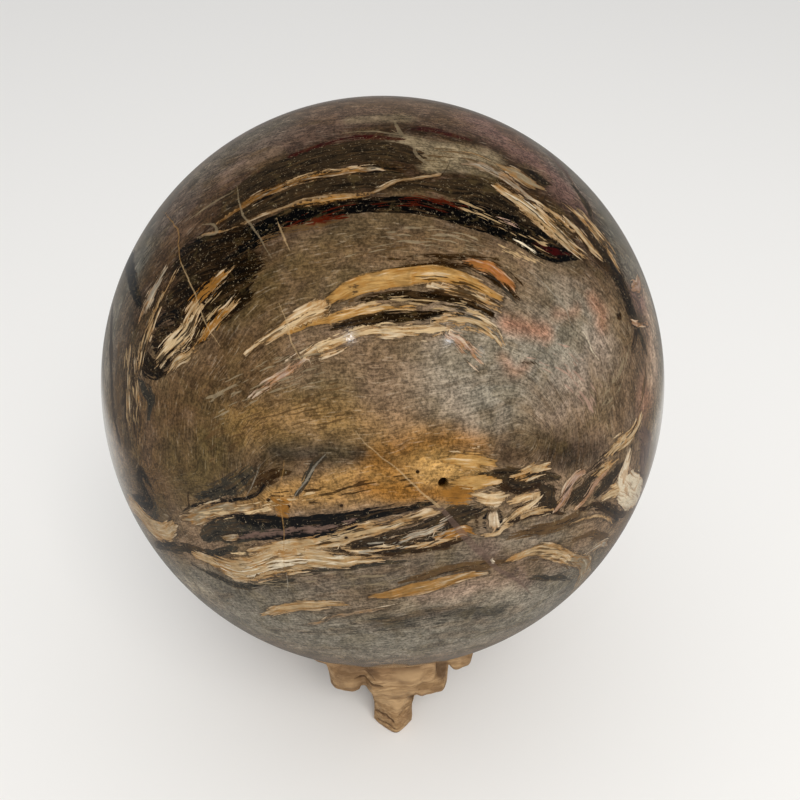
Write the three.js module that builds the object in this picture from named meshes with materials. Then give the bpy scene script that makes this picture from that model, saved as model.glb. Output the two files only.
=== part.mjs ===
// A polished sphere of petrified wood, resting by its own weight in a low stand carved from one
// block of light wood: a ring that fits the sphere, on three pointed feet with scalloped
// shoulders between them.
//
// Millimetres, +Z up. The origin is on the surface that the stand stands on, straight below the
// sphere's centre. One foot points along -Y and the others lie 120 degrees to each side of it.
import * as THREE from "three";
import { ParametricGeometry } from "three/addons/geometries/ParametricGeometry.js";

// The sphere.
const SPHERE_RADIUS = 150;
const SPHERE_CLEARANCE = 44; // from the ground to the sphere's lowest point
const SPHERE_CENTRE = SPHERE_CLEARANCE + SPHERE_RADIUS;
const SPHERE_DETAIL = 11;

// The ring, as radii from the axis and heights above the ground.
const SEAT_GAP = 0.4; // between the seat and the sphere
const SEAT_INNER = 66;
const SEAT_OUTER = 84;
const RIM_RADIUS = 87;
const RIM_HEIGHT = 70.4;
const WALL_RADIUS = 89;
const WALL_TOP = 67;
const RING_BOTTOM = 53; // the lower edge where no lobe or foot hangs from it
const EDGE_ROUNDING = 3;

// The feet. Angles are in degrees from the middle of the foot, positive turning anticlockwise
// as seen from above. Each foot narrows in plan to a point, and stands on a flat pad.
const FEET = 3;
const FOOT_SPACING = 360 / FEET;
const TOE = { angle: -0.6, half: 7.4, fade: 1.4, low: 4, high: 41 };
const TOE_REACH = 98; // radius of the toe's tip
const TOE_TIP = 0.2; // angle at which the tip lies
const TOE_TAPER = 1.45; // by how much the toe's reach falls for each degree from its tip
const TOE_BLEND = 7; // degrees beside the toe in which the wall comes out of its line
const TOE_FLARE = 0.07; // share by which the toe widens at the ground
const TOE_WAIST = 0.04; // and narrows above that
const PAD_INNER = 73; // radius of the inner edge of the pad

// The knee is the swelling of the wall above the toe.
const KNEE = { angle: 3, half: 11, fade: 5, height: 47, spread: 26, swell: 5.5 };

// The scallops of the ring's lower edge: where each lobe hangs, how wide its level part and its
// flanks are, how low it reaches, and how far it swells out of the wall.
const LOBES = [
  { angle: -20.0, half: 5.6, fade: 2.4, bottom: 37.5, swell: 3.8 },
  { angle: -11.0, half: 4.0, fade: 5.0, bottom: 40.5, swell: 0.5 },
  { angle: 14.0, half: 7.2, fade: 2.0, bottom: 34.5, swell: 6.5 },
  { angle: 28.5, half: 3.2, fade: 4.0, bottom: 43.5, swell: 2.6 },
  { angle: 60.0, half: 3.0, fade: 6.0, bottom: 43, swell: 2.5 },
  { angle: -60.0, half: 3.0, fade: 6.0, bottom: 43, swell: 2.5 },
];
const LOBE_BELLY = 6; // height above a lobe's bottom at which it swells the most
const LOBE_SPREAD = 20;
const LOBE_SQUARENESS = 0.5; // share of its level part over which a lobe swells fully

// How finely the stand is faceted. The facets are narrowest at the feet.
const SEGMENTS_PER_FOOT = 42;
const CROWDING = 9.5; // degrees by which facets shift towards the feet
const WALL_STEPS = 10;
const TOE_STRETCH = 0.8; // how much the facets of the wall lengthen towards the ground at a toe
const SEAT_STEPS = 3;

const { clamp, degToRad, lerp, smoothstep } = THREE.MathUtils;

// 1 within half of the middle, falling smoothly to 0 over fade beyond it.
function plateau(offset, half, fade) {
  return 1 - smoothstep(Math.abs(offset), half, half + fade);
}

// 1 at the middle, falling smoothly to 0 at spread from it.
function bell(offset, spread) {
  const share = clamp(offset / spread, -1, 1);
  return (1 - share * share) ** 2;
}

function toeShare(angle) {
  return plateau(angle - TOE.angle, TOE.half, TOE.fade);
}

// Height of the stand's lower edge.
function lowerEdge(angle) {
  const lobes = LOBES.map((lobe) =>
    lerp(RING_BOTTOM, lobe.bottom, plateau(angle - lobe.angle, lobe.half, lobe.fade)),
  );
  return Math.min(...lobes, lerp(RING_BOTTOM, 0, toeShare(angle)));
}

// Height of the seat's surface, which follows the sphere.
function seatHeight(radius) {
  return SPHERE_CENTRE - Math.sqrt((SPHERE_RADIUS + SEAT_GAP) ** 2 - radius * radius);
}

// Radius of the outer wall at a height: the ring's wall swollen by the knee or a lobe, and
// below them the toe.
function wallRadius(angle, height) {
  const knee =
    KNEE.swell * plateau(angle - KNEE.angle, KNEE.half, KNEE.fade) * bell(height - KNEE.height, KNEE.spread);
  const lobes = LOBES.map(
    (lobe) =>
      lobe.swell *
      plateau(angle - lobe.angle, lobe.half * LOBE_SQUARENESS, lobe.half * (1 - LOBE_SQUARENESS) + lobe.fade) *
      bell(height - lobe.bottom - LOBE_BELLY, LOBE_SPREAD),
  );
  const wall = WALL_RADIUS + Math.max(knee, ...lobes);
  const toe = TOE_REACH - TOE_TAPER * Math.abs(angle - TOE_TIP);
  const share = plateau(angle - TOE.angle, TOE.half + TOE.fade, TOE_BLEND);
  return lerp(wall, toe, share * (1 - smoothstep(height, TOE.low, TOE.high)));
}

// How much wider than its outline a foot is at a height.
function footWidth(height) {
  return 1 + TOE_FLARE * (1 - smoothstep(height, 3, 15)) - TOE_WAIST * bell(height - 21, 9);
}

// The stand's outline in the upright plane at an angle from a foot's middle, as a closed loop
// of [radius, height] points: out along the seat, over the rim, down the wall, in along the
// underside, and back up the inner wall.
function section(angle) {
  const points = [];
  for (let i = 0; i <= SEAT_STEPS; i++) {
    const radius = lerp(SEAT_INNER, SEAT_OUTER, i / SEAT_STEPS);
    points.push([radius, seatHeight(radius)]);
  }
  points.push([RIM_RADIUS, RIM_HEIGHT]);

  const low = lowerEdge(angle);
  const wallBottom = low + EDGE_ROUNDING;
  for (let i = 0; i <= WALL_STEPS; i++) {
    const share = (i / WALL_STEPS) ** (1 + TOE_STRETCH * toeShare(angle));
    const height = lerp(WALL_TOP, wallBottom, share);
    points.push([wallRadius(angle, height), height]);
  }

  const outer = wallRadius(angle, wallBottom);
  const inner = lerp(SEAT_INNER + EDGE_ROUNDING, PAD_INNER, toeShare(angle));
  const roundingDepth = EDGE_ROUNDING * (1 - Math.SQRT1_2);
  points.push([outer - roundingDepth, low + roundingDepth]);
  points.push([outer - EDGE_ROUNDING, low]);
  points.push([inner, low]);
  points.push([inner - EDGE_ROUNDING, low + EDGE_ROUNDING]);
  return points;
}

function woodenStand() {
  const around = FEET * SEGMENTS_PER_FOOT;
  const stations = section(0).length;
  // along the section with u, and around the axis with v
  const surface = (u, v, target) => {
    const turn = (Math.round(v * around) % around) / SEGMENTS_PER_FOOT;
    const foot = Math.round(turn);
    const share = turn - foot;
    const angle = FOOT_SPACING * share - CROWDING * Math.sin(2 * Math.PI * share);
    const [radius, height] = section(angle)[Math.round(u * stations) % stations];
    const azimuth = degToRad(FOOT_SPACING * foot + angle * footWidth(height) - 90);
    target.set(radius * Math.cos(azimuth), radius * Math.sin(azimuth), height);
  };
  const geometry = new ParametricGeometry(surface, stations, around);
  geometry.computeVertexNormals();
  return geometry;
}

function stoneSphere() {
  return new THREE.IcosahedronGeometry(SPHERE_RADIUS, SPHERE_DETAIL);
}

const stone = new THREE.MeshStandardMaterial({ color: 0x6a5f52, roughness: 0.12, metalness: 0 });
const wood = new THREE.MeshStandardMaterial({ color: 0xa5825a, roughness: 0.6, metalness: 0 });

const sphere = new THREE.Mesh(stoneSphere(), stone);
sphere.name = "stone_sphere";
sphere.position.z = SPHERE_CENTRE;

const stand = new THREE.Mesh(woodenStand(), wood);
stand.name = "wooden_stand";

const part = new THREE.Group();
part.add(sphere, stand);

export default part;
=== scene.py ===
# A polished sphere of petrified wood resting in a low stand carved from one block of light wood.
#
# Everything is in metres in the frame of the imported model: +Z up, the ground at z = 0, the
# sphere's centre on the Z axis, and the stand's front foot towards -Y. The stone's pattern is laid
# out on its show face in degrees: (right, up) from the face's middle.
import math

import bmesh
import bpy
import numpy as np
from mathutils import Matrix, Vector


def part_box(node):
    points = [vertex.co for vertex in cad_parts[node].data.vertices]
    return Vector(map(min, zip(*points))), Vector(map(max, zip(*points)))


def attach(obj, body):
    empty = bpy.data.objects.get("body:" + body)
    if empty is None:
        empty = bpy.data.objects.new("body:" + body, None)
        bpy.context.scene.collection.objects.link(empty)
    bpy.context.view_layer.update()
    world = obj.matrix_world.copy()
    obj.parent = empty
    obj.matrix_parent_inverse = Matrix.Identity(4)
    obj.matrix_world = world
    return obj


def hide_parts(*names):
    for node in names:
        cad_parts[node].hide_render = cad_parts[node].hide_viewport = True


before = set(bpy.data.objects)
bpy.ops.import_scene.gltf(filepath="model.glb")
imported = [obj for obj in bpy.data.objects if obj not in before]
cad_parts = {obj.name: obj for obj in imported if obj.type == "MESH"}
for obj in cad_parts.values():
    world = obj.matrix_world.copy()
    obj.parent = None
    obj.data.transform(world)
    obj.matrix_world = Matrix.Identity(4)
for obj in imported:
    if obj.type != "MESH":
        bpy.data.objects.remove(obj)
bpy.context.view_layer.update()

MM = 0.001
SPHERE_LOW, SPHERE_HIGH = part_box("stone_sphere")
RADIUS = (SPHERE_HIGH.z - SPHERE_LOW.z) / 2
CENTRE = (SPHERE_LOW + SPHERE_HIGH) / 2

# The show face: the side of the stone that is turned to the viewer, who looks down on it.
FACE_AZIMUTH = math.radians(-5)
FACE_ELEVATION = math.radians(35)
TOWARD = np.array([
    math.sin(FACE_AZIMUTH) * math.cos(FACE_ELEVATION),
    -math.cos(FACE_AZIMUTH) * math.cos(FACE_ELEVATION),
    math.sin(FACE_ELEVATION),
])
RIGHT = np.array([math.cos(FACE_AZIMUTH), math.sin(FACE_AZIMUTH), 0.0])
UP = np.cross(TOWARD, RIGHT)


# ---------------------------------------------------------------------------------------------
# Helpers
# ---------------------------------------------------------------------------------------------

WAVE_COUNT = 28  # waves that are added up for one smooth random number
WAVE_RANGE = (0.5, 1.4)  # their frequencies, as shares of the one asked for


def add_object(name, data):
    thing = bpy.data.objects.new(name, data)
    bpy.context.scene.collection.objects.link(thing)
    return thing


def store(mesh, name, values):
    """Keeps one number or one colour for each of a mesh's points."""
    kind = "FLOAT" if values.ndim == 1 else "FLOAT_COLOR"
    attribute = mesh.attributes.new(name, kind, "POINT")
    field = "value" if values.ndim == 1 else "color"
    attribute.data.foreach_set(field, np.ascontiguousarray(values, np.float32).ravel())


def face_direction(right, up):
    """Unit vectors for places on the show face, in degrees right and up from its middle."""
    right, up = np.radians(right), np.radians(up)
    across = np.multiply.outer(np.sin(right) * np.cos(up), RIGHT)
    out = np.multiply.outer(np.cos(right) * np.cos(up), TOWARD)
    return across + out + np.multiply.outer(np.sin(up), UP)


def unit(rows):
    return rows / np.linalg.norm(rows, axis=1)[:, None]


def degrees_from(directions, middle):
    """How far each direction is from the middle one, in degrees."""
    return np.degrees(np.arccos(np.clip(directions @ middle, -1, 1)))


def lerp(first, second, share):
    return first + (second - first) * share


def smoothstep(low, high, value):
    share = np.clip((value - low) / (high - low), 0, 1)
    return share * share * (3 - 2 * share)


def plateau(offset, half, fade):
    """1 within half of the middle, falling smoothly to 0 over fade beyond it."""
    return 1 - smoothstep(half, half + fade, np.abs(offset))


def bell(offset, spread):
    """1 in the middle, falling smoothly to 0 at spread from it."""
    share = np.clip(offset / spread, -1, 1)
    return (1 - share**2) ** 2


def waves(points, length, seed):
    """Smooth random numbers, about -1 to 1, that vary over about the given length."""
    random = np.random.default_rng(seed)
    directions = unit(random.normal(size=(WAVE_COUNT, points.shape[1])))
    scale = 2 * math.pi / length * random.uniform(*WAVE_RANGE, WAVE_COUNT)
    phase = random.uniform(0, 2 * math.pi, WAVE_COUNT)
    return np.sin(points @ (directions * scale[:, None]).T + phase).sum(1) / math.sqrt(WAVE_COUNT)


def sway(points, parts):
    """The sum of some smooth random numbers, each given as amount, length and seed."""
    return sum(amount * waves(points, length, seed) for amount, length, seed in parts)


# ---------------------------------------------------------------------------------------------
# Colours and nodes
# ---------------------------------------------------------------------------------------------

# Colours as seen, 0 to 255.
PALETTE = {
    "matrix": (127, 105, 82),
    "brown": (94, 72, 48),
    "olive": (92, 78, 50),
    "khaki": (142, 126, 100),
    "grey": (117, 114, 103),
    "pale_grey": (153, 144, 128),
    "slate": (58, 54, 47),
    "smoke": (56, 46, 35),
    "charcoal": (36, 29, 22),
    "black": (16, 12, 9),
    "umber": (50, 36, 24),
    "wine": (58, 22, 14),
    "red": (76, 32, 22),
    "rust": (172, 108, 64),
    "salmon": (166, 122, 98),
    "pink": (170, 140, 122),
    "mauve": (104, 84, 74),
    "plum": (128, 98, 90),
    "amber": (142, 98, 46),
    "ochre": (160, 122, 72),
    "gold": (188, 148, 90),
    "tan": (182, 154, 114),
    "cream": (210, 182, 140),
    "ivory": (226, 210, 182),
    "wood": (150, 118, 80),
    "wood_light_and_highlight": (190, 156, 114),
    "wood_red": (130, 92, 62),
    "wood_dark": (102, 74, 48),
    "wood_pore_and_shade": (74, 50, 32),
}
SHEEN = 0.008  # how much light the polish adds to every colour, as a share
DARKEST = 0.0005


def linear(shades):
    """Linear light from a colour of three numbers, 0 to 255."""
    share = np.array(shades, float) / 255
    return np.where(share <= 0.04045, share / 12.92, ((share + 0.055) / 1.055) ** 2.4)


def pigment(name):
    """A colour of the palette, less what the polish adds to it."""
    return np.maximum(linear(PALETTE[name]) - SHEEN, DARKEST)


def colour(name):
    return (*pigment(name), 1)


class Nodes:
    """The node tree of a material or a world, with short ways to add nodes and join them."""

    def __init__(self, owner):
        owner.use_nodes = True
        self.owner = owner
        self.tree = owner.node_tree
        self.shader = self.tree.nodes.get("Principled BSDF")

    def put(self, value, socket):
        if isinstance(value, bpy.types.NodeSocket):
            self.tree.links.new(value, socket)
        elif value is not None:
            socket.default_value = value

    def output(self, kind, name):
        """One output of a node that needs no inputs."""
        return self.tree.nodes.new("ShaderNode" + kind).outputs[name]

    def attribute(self, name):
        node = self.tree.nodes.new("ShaderNodeAttribute")
        node.attribute_name = name
        return node.outputs

    def number(self, name):
        """A number that store() kept for each point."""
        return self.attribute(name)["Fac"]

    def axis(self, vector, name):
        node = self.tree.nodes.new("ShaderNodeSeparateXYZ")
        self.put(vector, node.inputs[0])
        return node.outputs[name]

    def math(self, operation, first, second=None, third=None):
        node = self.tree.nodes.new("ShaderNodeMath")
        node.operation = operation
        for value, socket in zip((first, second, third), node.inputs):
            self.put(value, socket)
        return node.outputs[0]

    def noise(self, vector, size, detail, w=None, roughness=0.55, distortion=0.0):
        """Noise, mostly near 0.5, whose features are about size metres wide."""
        node = self.tree.nodes.new("ShaderNodeTexNoise")
        node.noise_dimensions = "3D" if w is None else "4D"
        self.put(vector, node.inputs["Vector"])
        if w is not None:
            self.put(w, node.inputs["W"])
        node.inputs["Scale"].default_value = 1 / size
        node.inputs["Detail"].default_value = detail
        node.inputs["Roughness"].default_value = roughness
        node.inputs["Distortion"].default_value = distortion
        return node.outputs[0]

    def either_side(self, noise, amount, base=0.0):
        """A base to which noise adds up to about half of the amount, or takes it away."""
        return self.math("MULTIPLY_ADD", self.math("SUBTRACT", noise, 0.5), amount, base)

    def ramp(self, value, low, high, to_low=0.0, to_high=1.0, smooth=True):
        """Goes from to_low to to_high as the value goes from low to high, and no further."""
        node = self.tree.nodes.new("ShaderNodeMapRange")
        node.interpolation_type = "SMOOTHSTEP" if smooth else "LINEAR"
        for socket, number in zip(node.inputs, (value, low, high, to_low, to_high)):
            self.put(number, socket)
        return node.outputs[0]

    def mix(self, share, first, second, blend="MIX"):
        node = self.tree.nodes.new("ShaderNodeMix")
        node.data_type = "RGBA"
        node.blend_type = blend
        self.put(share, node.inputs[0])
        self.put(first, node.inputs[6])
        self.put(second, node.inputs[7])
        return node.outputs[2]

    def tint(self, found, value, low, high, share, name):
        """Mixes in up to a share of a colour of the palette as the value goes from low to high."""
        return self.mix(self.ramp(value, low, high, 0, share), found, colour(name))

    def shade(self, found, amount):
        """A colour made lighter or darker by a number."""
        grey = self.tree.nodes.new("ShaderNodeCombineColor")
        for socket in grey.inputs[:3]:
            self.put(amount, socket)
        return self.mix(1.0, found, grey.outputs[0], "MULTIPLY")

    def bump(self, height, strength, distance):
        node = self.tree.nodes.new("ShaderNodeBump")
        node.inputs["Strength"].default_value = strength
        node.inputs["Distance"].default_value = distance
        self.put(height, node.inputs["Height"])
        return node.outputs[0]


# ---------------------------------------------------------------------------------------------
# Camera, floor and light
# ---------------------------------------------------------------------------------------------

VIEW_DISTANCE = 3.056 * RADIUS  # from the sphere's centre
VIEW_DROP = math.radians(9.53)  # how far below the sphere's centre the camera points
SENSOR = 36.0
LENS = 36.05
SHIFT = (0.0217, 0.1663)  # of the lens, as shares of the sensor's width


def add_camera():
    data = bpy.data.cameras.new("camera")
    data.sensor_width = SENSOR
    data.lens = LENS
    data.shift_x, data.shift_y = SHIFT
    camera = add_object("camera", data)
    ahead = -TOWARD * math.cos(VIEW_DROP) - UP * math.sin(VIEW_DROP)
    above = np.cross(RIGHT, ahead)
    turn = Matrix([RIGHT, above, -ahead]).transposed().to_4x4()
    place = Vector(TOWARD) * VIEW_DISTANCE + CENTRE
    camera.matrix_world = Matrix.Translation(place) @ turn
    bpy.context.scene.camera = camera


FLOOR_COLOUR = (0.86, 0.855, 0.845, 1)
FLOOR_HALF = 6.0
FLOOR_ROUGHNESS = 0.9
MIRRORED = 0.27  # share of the floor's brightness that the polish shows: painted shade, as if no lamp shone on it
PAINTED_POOL_SHARE = 0.9  # and just behind the object, a painted pool of light, as if a window shone on it
BEHIND = (0.02, 0.24)  # metres behind the middle
PAINTED_POOL_REACH = (0.42, 0.56)  # metres from the middle


def add_floor():
    mesh = bpy.data.meshes.new("floor")
    corners = [(x * FLOOR_HALF, y * FLOOR_HALF, 0) for x, y in ((-1, -1), (1, -1), (1, 1), (-1, 1))]
    mesh.from_pydata(corners, [], [(0, 1, 2, 3)])
    floor = add_object("floor", mesh)
    n = Nodes(bpy.data.materials.new("floor"))
    n.shader.inputs["Roughness"].default_value = FLOOR_ROUGHNESS
    place = n.output("NewGeometry", "Position")
    away = n.tree.nodes.new("ShaderNodeVectorMath")
    away.operation = "LENGTH"
    n.put(place, away.inputs[0])
    # as the polish shows it, the floor's colour carries painted shade, and a painted pool of light behind
    # the object
    behind = n.ramp(n.axis(place, "Y"), *BEHIND)
    close = n.ramp(away.outputs["Value"], *PAINTED_POOL_REACH, 1, 0)
    dim, painted_pool = ([share * number for number in FLOOR_COLOUR] for share in (MIRRORED, PAINTED_POOL_SHARE))
    polish = n.mix(n.math("MULTIPLY", behind, close), dim, painted_pool)
    seen = n.mix(n.output("LightPath", "Is Glossy Ray"), FLOOR_COLOUR, polish)
    n.put(seen, n.shader.inputs["Base Color"])
    mesh.materials.append(n.owner)


ROOM_COLOUR = (1.0, 0.997, 0.99, 1)
ROOM_STRENGTH = 0.8
MIRRORED_ROOM = (0.15, 0.05)  # its strength in the polish, level and overhead
ROOM_TOP = 0.7  # how steep a direction counts as overhead
KEY = dict(direction=(0.2, -0.8, 0.9), distance=2.4, size=1.2, power=28, colour=(1.0, 0.97, 0.92))
SPOT = dict(distance=2.2, size=0.07, colour=(0.95, 0.97, 1.0))
GLINTS = [(-4.6, 8.4, 0.6), (9.3, 8.0, 0.35), (14, 6.5, 0.12)]  # right, up and power


def add_lamp(name, direction, distance, size, power, colour):
    """A square area lamp in a direction from the sphere's centre, facing it."""
    data = bpy.data.lights.new(name, "AREA")
    data.size = size
    data.energy = power
    data.color = colour
    lamp = add_object(name, data)
    where = CENTRE + Vector(direction).normalized() * distance
    lamp.location = where
    lamp.rotation_euler = (CENTRE - where).to_track_quat("-Z", "Y").to_euler()
    return lamp


def mirrored(right, up):
    """The direction that a glint at (right, up) on the show face reflects to the viewer."""
    normal = face_direction(right, up)
    to_viewer = TOWARD * VIEW_DISTANCE - normal * RADIUS
    to_viewer /= np.linalg.norm(to_viewer)
    return 2 * normal.dot(to_viewer) * normal - to_viewer


def add_light():
    """A white room, dim where it shows in the polish, with lamps that leave no glare but for
    three glints."""
    world = bpy.data.worlds.new("studio")
    n = Nodes(world)
    room = n.tree.nodes["Background"]
    room.inputs["Color"].default_value = ROOM_COLOUR
    room.inputs["Strength"].default_value = ROOM_STRENGTH
    mirrored_room = n.tree.nodes.new("ShaderNodeBackground")
    height = n.axis(n.output("TexCoord", "Generated"), "Z")
    n.put(n.ramp(height, 0, ROOM_TOP, *MIRRORED_ROOM, smooth=False), mirrored_room.inputs["Strength"])
    either = n.tree.nodes.new("ShaderNodeMixShader")
    sources = (n.output("LightPath", "Is Glossy Ray"), room.outputs[0], mirrored_room.outputs[0])
    for source, socket in zip(sources, either.inputs):
        n.put(source, socket)
    n.put(either.outputs[0], n.tree.nodes["World Output"].inputs["Surface"])
    bpy.context.scene.world = world
    key = add_lamp("key", **KEY)
    key.visible_glossy = False
    for index, (right, up, power) in enumerate(GLINTS):
        add_lamp(f"spot_{index}", mirrored(right, up), power=power, **SPOT)


# ---------------------------------------------------------------------------------------------
# The stone's pattern
# ---------------------------------------------------------------------------------------------

# Every place below is in degrees on the show face, right and up. Widths are half-widths, spread
# evenly along the stroke.

# Broad soft tints of the ground, and painted reflection: colour, softness, strength, half-widths, points.
TINTS = [
    ("umber", 7, 0.95, 12, [(-46, 24), (-28, 36), (-8, 41), (10, 42), (26, 38), (42, 31)]),
    ("umber", 5, 0.75, 6, [(-44, 16), (-32, 17), (-21, 20)]),
    ("smoke", 6, 0.7, 7, [(-54, 28), (-52, 12), (-50, -4), (-48, -16)]),
    ("brown", 6, 0.5, 7, [(-34, 4), (-28, -4), (-20, -8)]),
    ("smoke", 5, 0.7, 5, [(44, 36), (51, 22), (52, 8), (50, -4)]),
    # partly the stone's own colour, partly painted light: a paler patch right of the middle
    ("pale_grey", 6, 0.85, 8, [(14, 4), (22, 6), (34, 7)]),
    # painted reflection of the floor: a paler band along the bottom of the outline
    ("pale_grey", 6, 0.65, 10, [(-50, -42), (-25, -48), (0, -52), (25, -48), (46, -40)]),
    ("mauve", 5, 0.4, 9, [(-40, 52), (-20, 58), (0, 60), (20, 58), (40, 52)]),
    # painted reflection: a greyer band along the upper left of the outline
    ("grey", 4, 0.6, 7, [(-62, 8), (-56, 24), (-48, 38), (-34, 50)]),
    ("mauve", 4, 0.5, 6, [(-48, 34), (-42, 30), (-38, 38), (-26, 46), (-12, 50)]),
    ("plum", 4, 0.7, 6, [(32, 52), (40, 44), (44, 37)]),
    # painted reflection: a greyer band along the upper right of the outline
    ("grey", 4, 0.7, 7, [(52, 46), (56, 34), (56, 24)]),
    ("khaki", 1.5, 0.9, 2.6, [(4, 43), (10, 42), (16, 41.5), (23, 41)]),
    ("khaki", 1.2, 0.9, 1.6, [(9, 38), (15, 38.5), (22, 38)]),
    ("khaki", 1, 0.5, 1.6, [(-8, 51), (0, 51.5), (6, 52)]),
    ("pink", 2, 0.35, 1.5, [(-36, 38), (-31, 40.5), (-24, 43)]),
    ("khaki", 3, 0.15, 3, [(-6, 25), (4, 26), (14, 24)]),
    ("umber", 3, 0.4, 2.5, [(-16, 25), (-6, 27), (6, 27), (18, 24)]),
    ("umber", 3, 0.55, 3.5, [(-23, 20), (-21, 15), (-25, 10)]),
    ("umber", 3, 0.5, 4, [(-47, -16), (-38, -13), (-28, -12), (-19, -12)]),
    ("olive", 3, 0.6, 5, [(-22, 14), (-14, 17), (-8, 19)]),
    ("brown", 3, 0.5, 3, [(-18, 12), (-8, 21), (6, 22.5), (14, 21)]),
    ("brown", 4, 0.8, 8, [(-38, -8), (-30, -4), (-22, 2)]),
    ("olive", 4, 0.7, 5, [(-36, -12), (-26, -8), (-18, -5), (-8, -1)]),
    ("brown", 3, 0.7, 3.5, [(-42, 0), (-46, -7), (-44, -14)]),
    ("grey", 4, 0.4, 5, [(18, 0), (28, 5), (34, 12), (30, 17)]),
    ("pink", 4, 0.3, 3.5, [(26, -1), (33, 2), (38, 9)]),
    ("brown", 4, 0.5, 4, [(36, -2), (43, 3), (46, 9)]),
    ("smoke", 3, 0.6, 3, [(20, -8), (27, -7), (33, -8)]),
    ("charcoal", 1.5, 0.7, 2.2, [(28, -9), (33, -8.8), (38, -8)]),
    ("salmon", 1.6, 0.8, 1.3, [(37, 15.4), (39, 13.6), (38.5, 11.6)]),
    ("salmon", 1.4, 0.9, 1.3, [(19, 11), (22, 10.5), (26, 9.8)]),
    ("salmon", 1.2, 0.6, 0.7, [(18, 6), (20, 4), (22, 4.8)]),
    ("salmon", 1.2, 0.5, 0.8, [(28, 13), (31, 13), (33, 14)]),
    ("salmon", 3, 0.7, 3.0, [(59, 18), (58, 9), (55, 3), (52, 0)]),
    ("ivory", 3, 0.35, 2.4, [(59, 16), (58, 9), (55.6, 4)]),
    ("plum", 1.5, 0.7, 1.8, [(50, 17.4), (53, 16.6), (56, 17)]),
    # painted reflection of the floor: a paler band along the right of the outline
    ("pale_grey", 4, 0.8, 4.5, [(63, 22), (64, 8), (63, -6)]),
    # painted reflection of the floor: a paler band along the left of the outline
    ("pale_grey", 4, 0.6, 5, [(-64, 26), (-65, 8), (-64, -10), (-60, -30)]),
    ("ochre", 3, 0.5, 2.6, [(-22, -4), (-14, -2.5), (-4, -4), (4, -6), (10, -7)]),
    ("ochre", 1.5, 0.95, [0.8, 1.8, 2.5, 3.1, 3.8, 4.2, 3.0],
     [(-24, -16.8), (-17, -15.4), (-10, -13.8), (-4, -12.8), (2, -11.6), (8, -10.6), (13, -11.2)]),
    ("amber", 2, 0.8, 1.6, [(-2, -8.6), (4, -7), (10, -6), (15, -7)]),
    ("amber", 1.2, 0.9, 1.3, [(-3, -13), (1, -14), (6, -14), (12, -14.6)]),
    ("amber", 2, 0.7, 1.6, [(-1, -8), (1, -11), (3, -14)]),
    ("umber", 2, 0.5, 1.2, [(-21, -10), (-17, -9), (-12, -9), (-4, -8.6)]),
    ("gold", 2, 0.7, 1.8, [(7, -10), (11, -10), (15, -11)]),
    ("slate", 1.6, 0.85, 1.0, [(-17, -7.5), (-12, -8), (-8, -7.6), (-2.5, -8)]),
    # painted reflection of the floor: a greyer band along the bottom of the outline
    ("grey", 6, 0.6, 9, [(-58, -40), (-30, -42), (0, -46), (24, -44), (50, -38)]),
    ("pale_grey", 4, 0.4, 3, [(6, -36), (18, -35), (32, -36), (44, -40)]),
    ("grey", 4, 0.5, 3, [(-44, -33), (-20, -33), (4, -29), (20, -24), (34, -23)]),
    ("slate", 3, 0.35, 3, [(-40, -36), (-20, -31), (0, -28), (14, -26)]),
    ("pink", 2, 0.4, 1.5, [(8, -34), (16, -33), (24, -31.5)]),
    ("mauve", 1.5, 0.7, 1.6, [(18, -24), (24, -28), (31, -33)]),
    ("slate", 1.6, 0.75, 1.6, [(0, -41), (6, -40), (10, -38.5), (16, -39), (28, -40)]),
    ("ivory", 3, 0.45, 2.4, [(-58, -39), (-52, -38), (-46, -38.5)]),
    ("slate", 2, 0.35, 2, [(34, -33), (42, -33), (50, -38)]),
    ("brown", 3, 0.4, 6, [(-16, -62), (0, -66), (16, -62)]),
]

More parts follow.
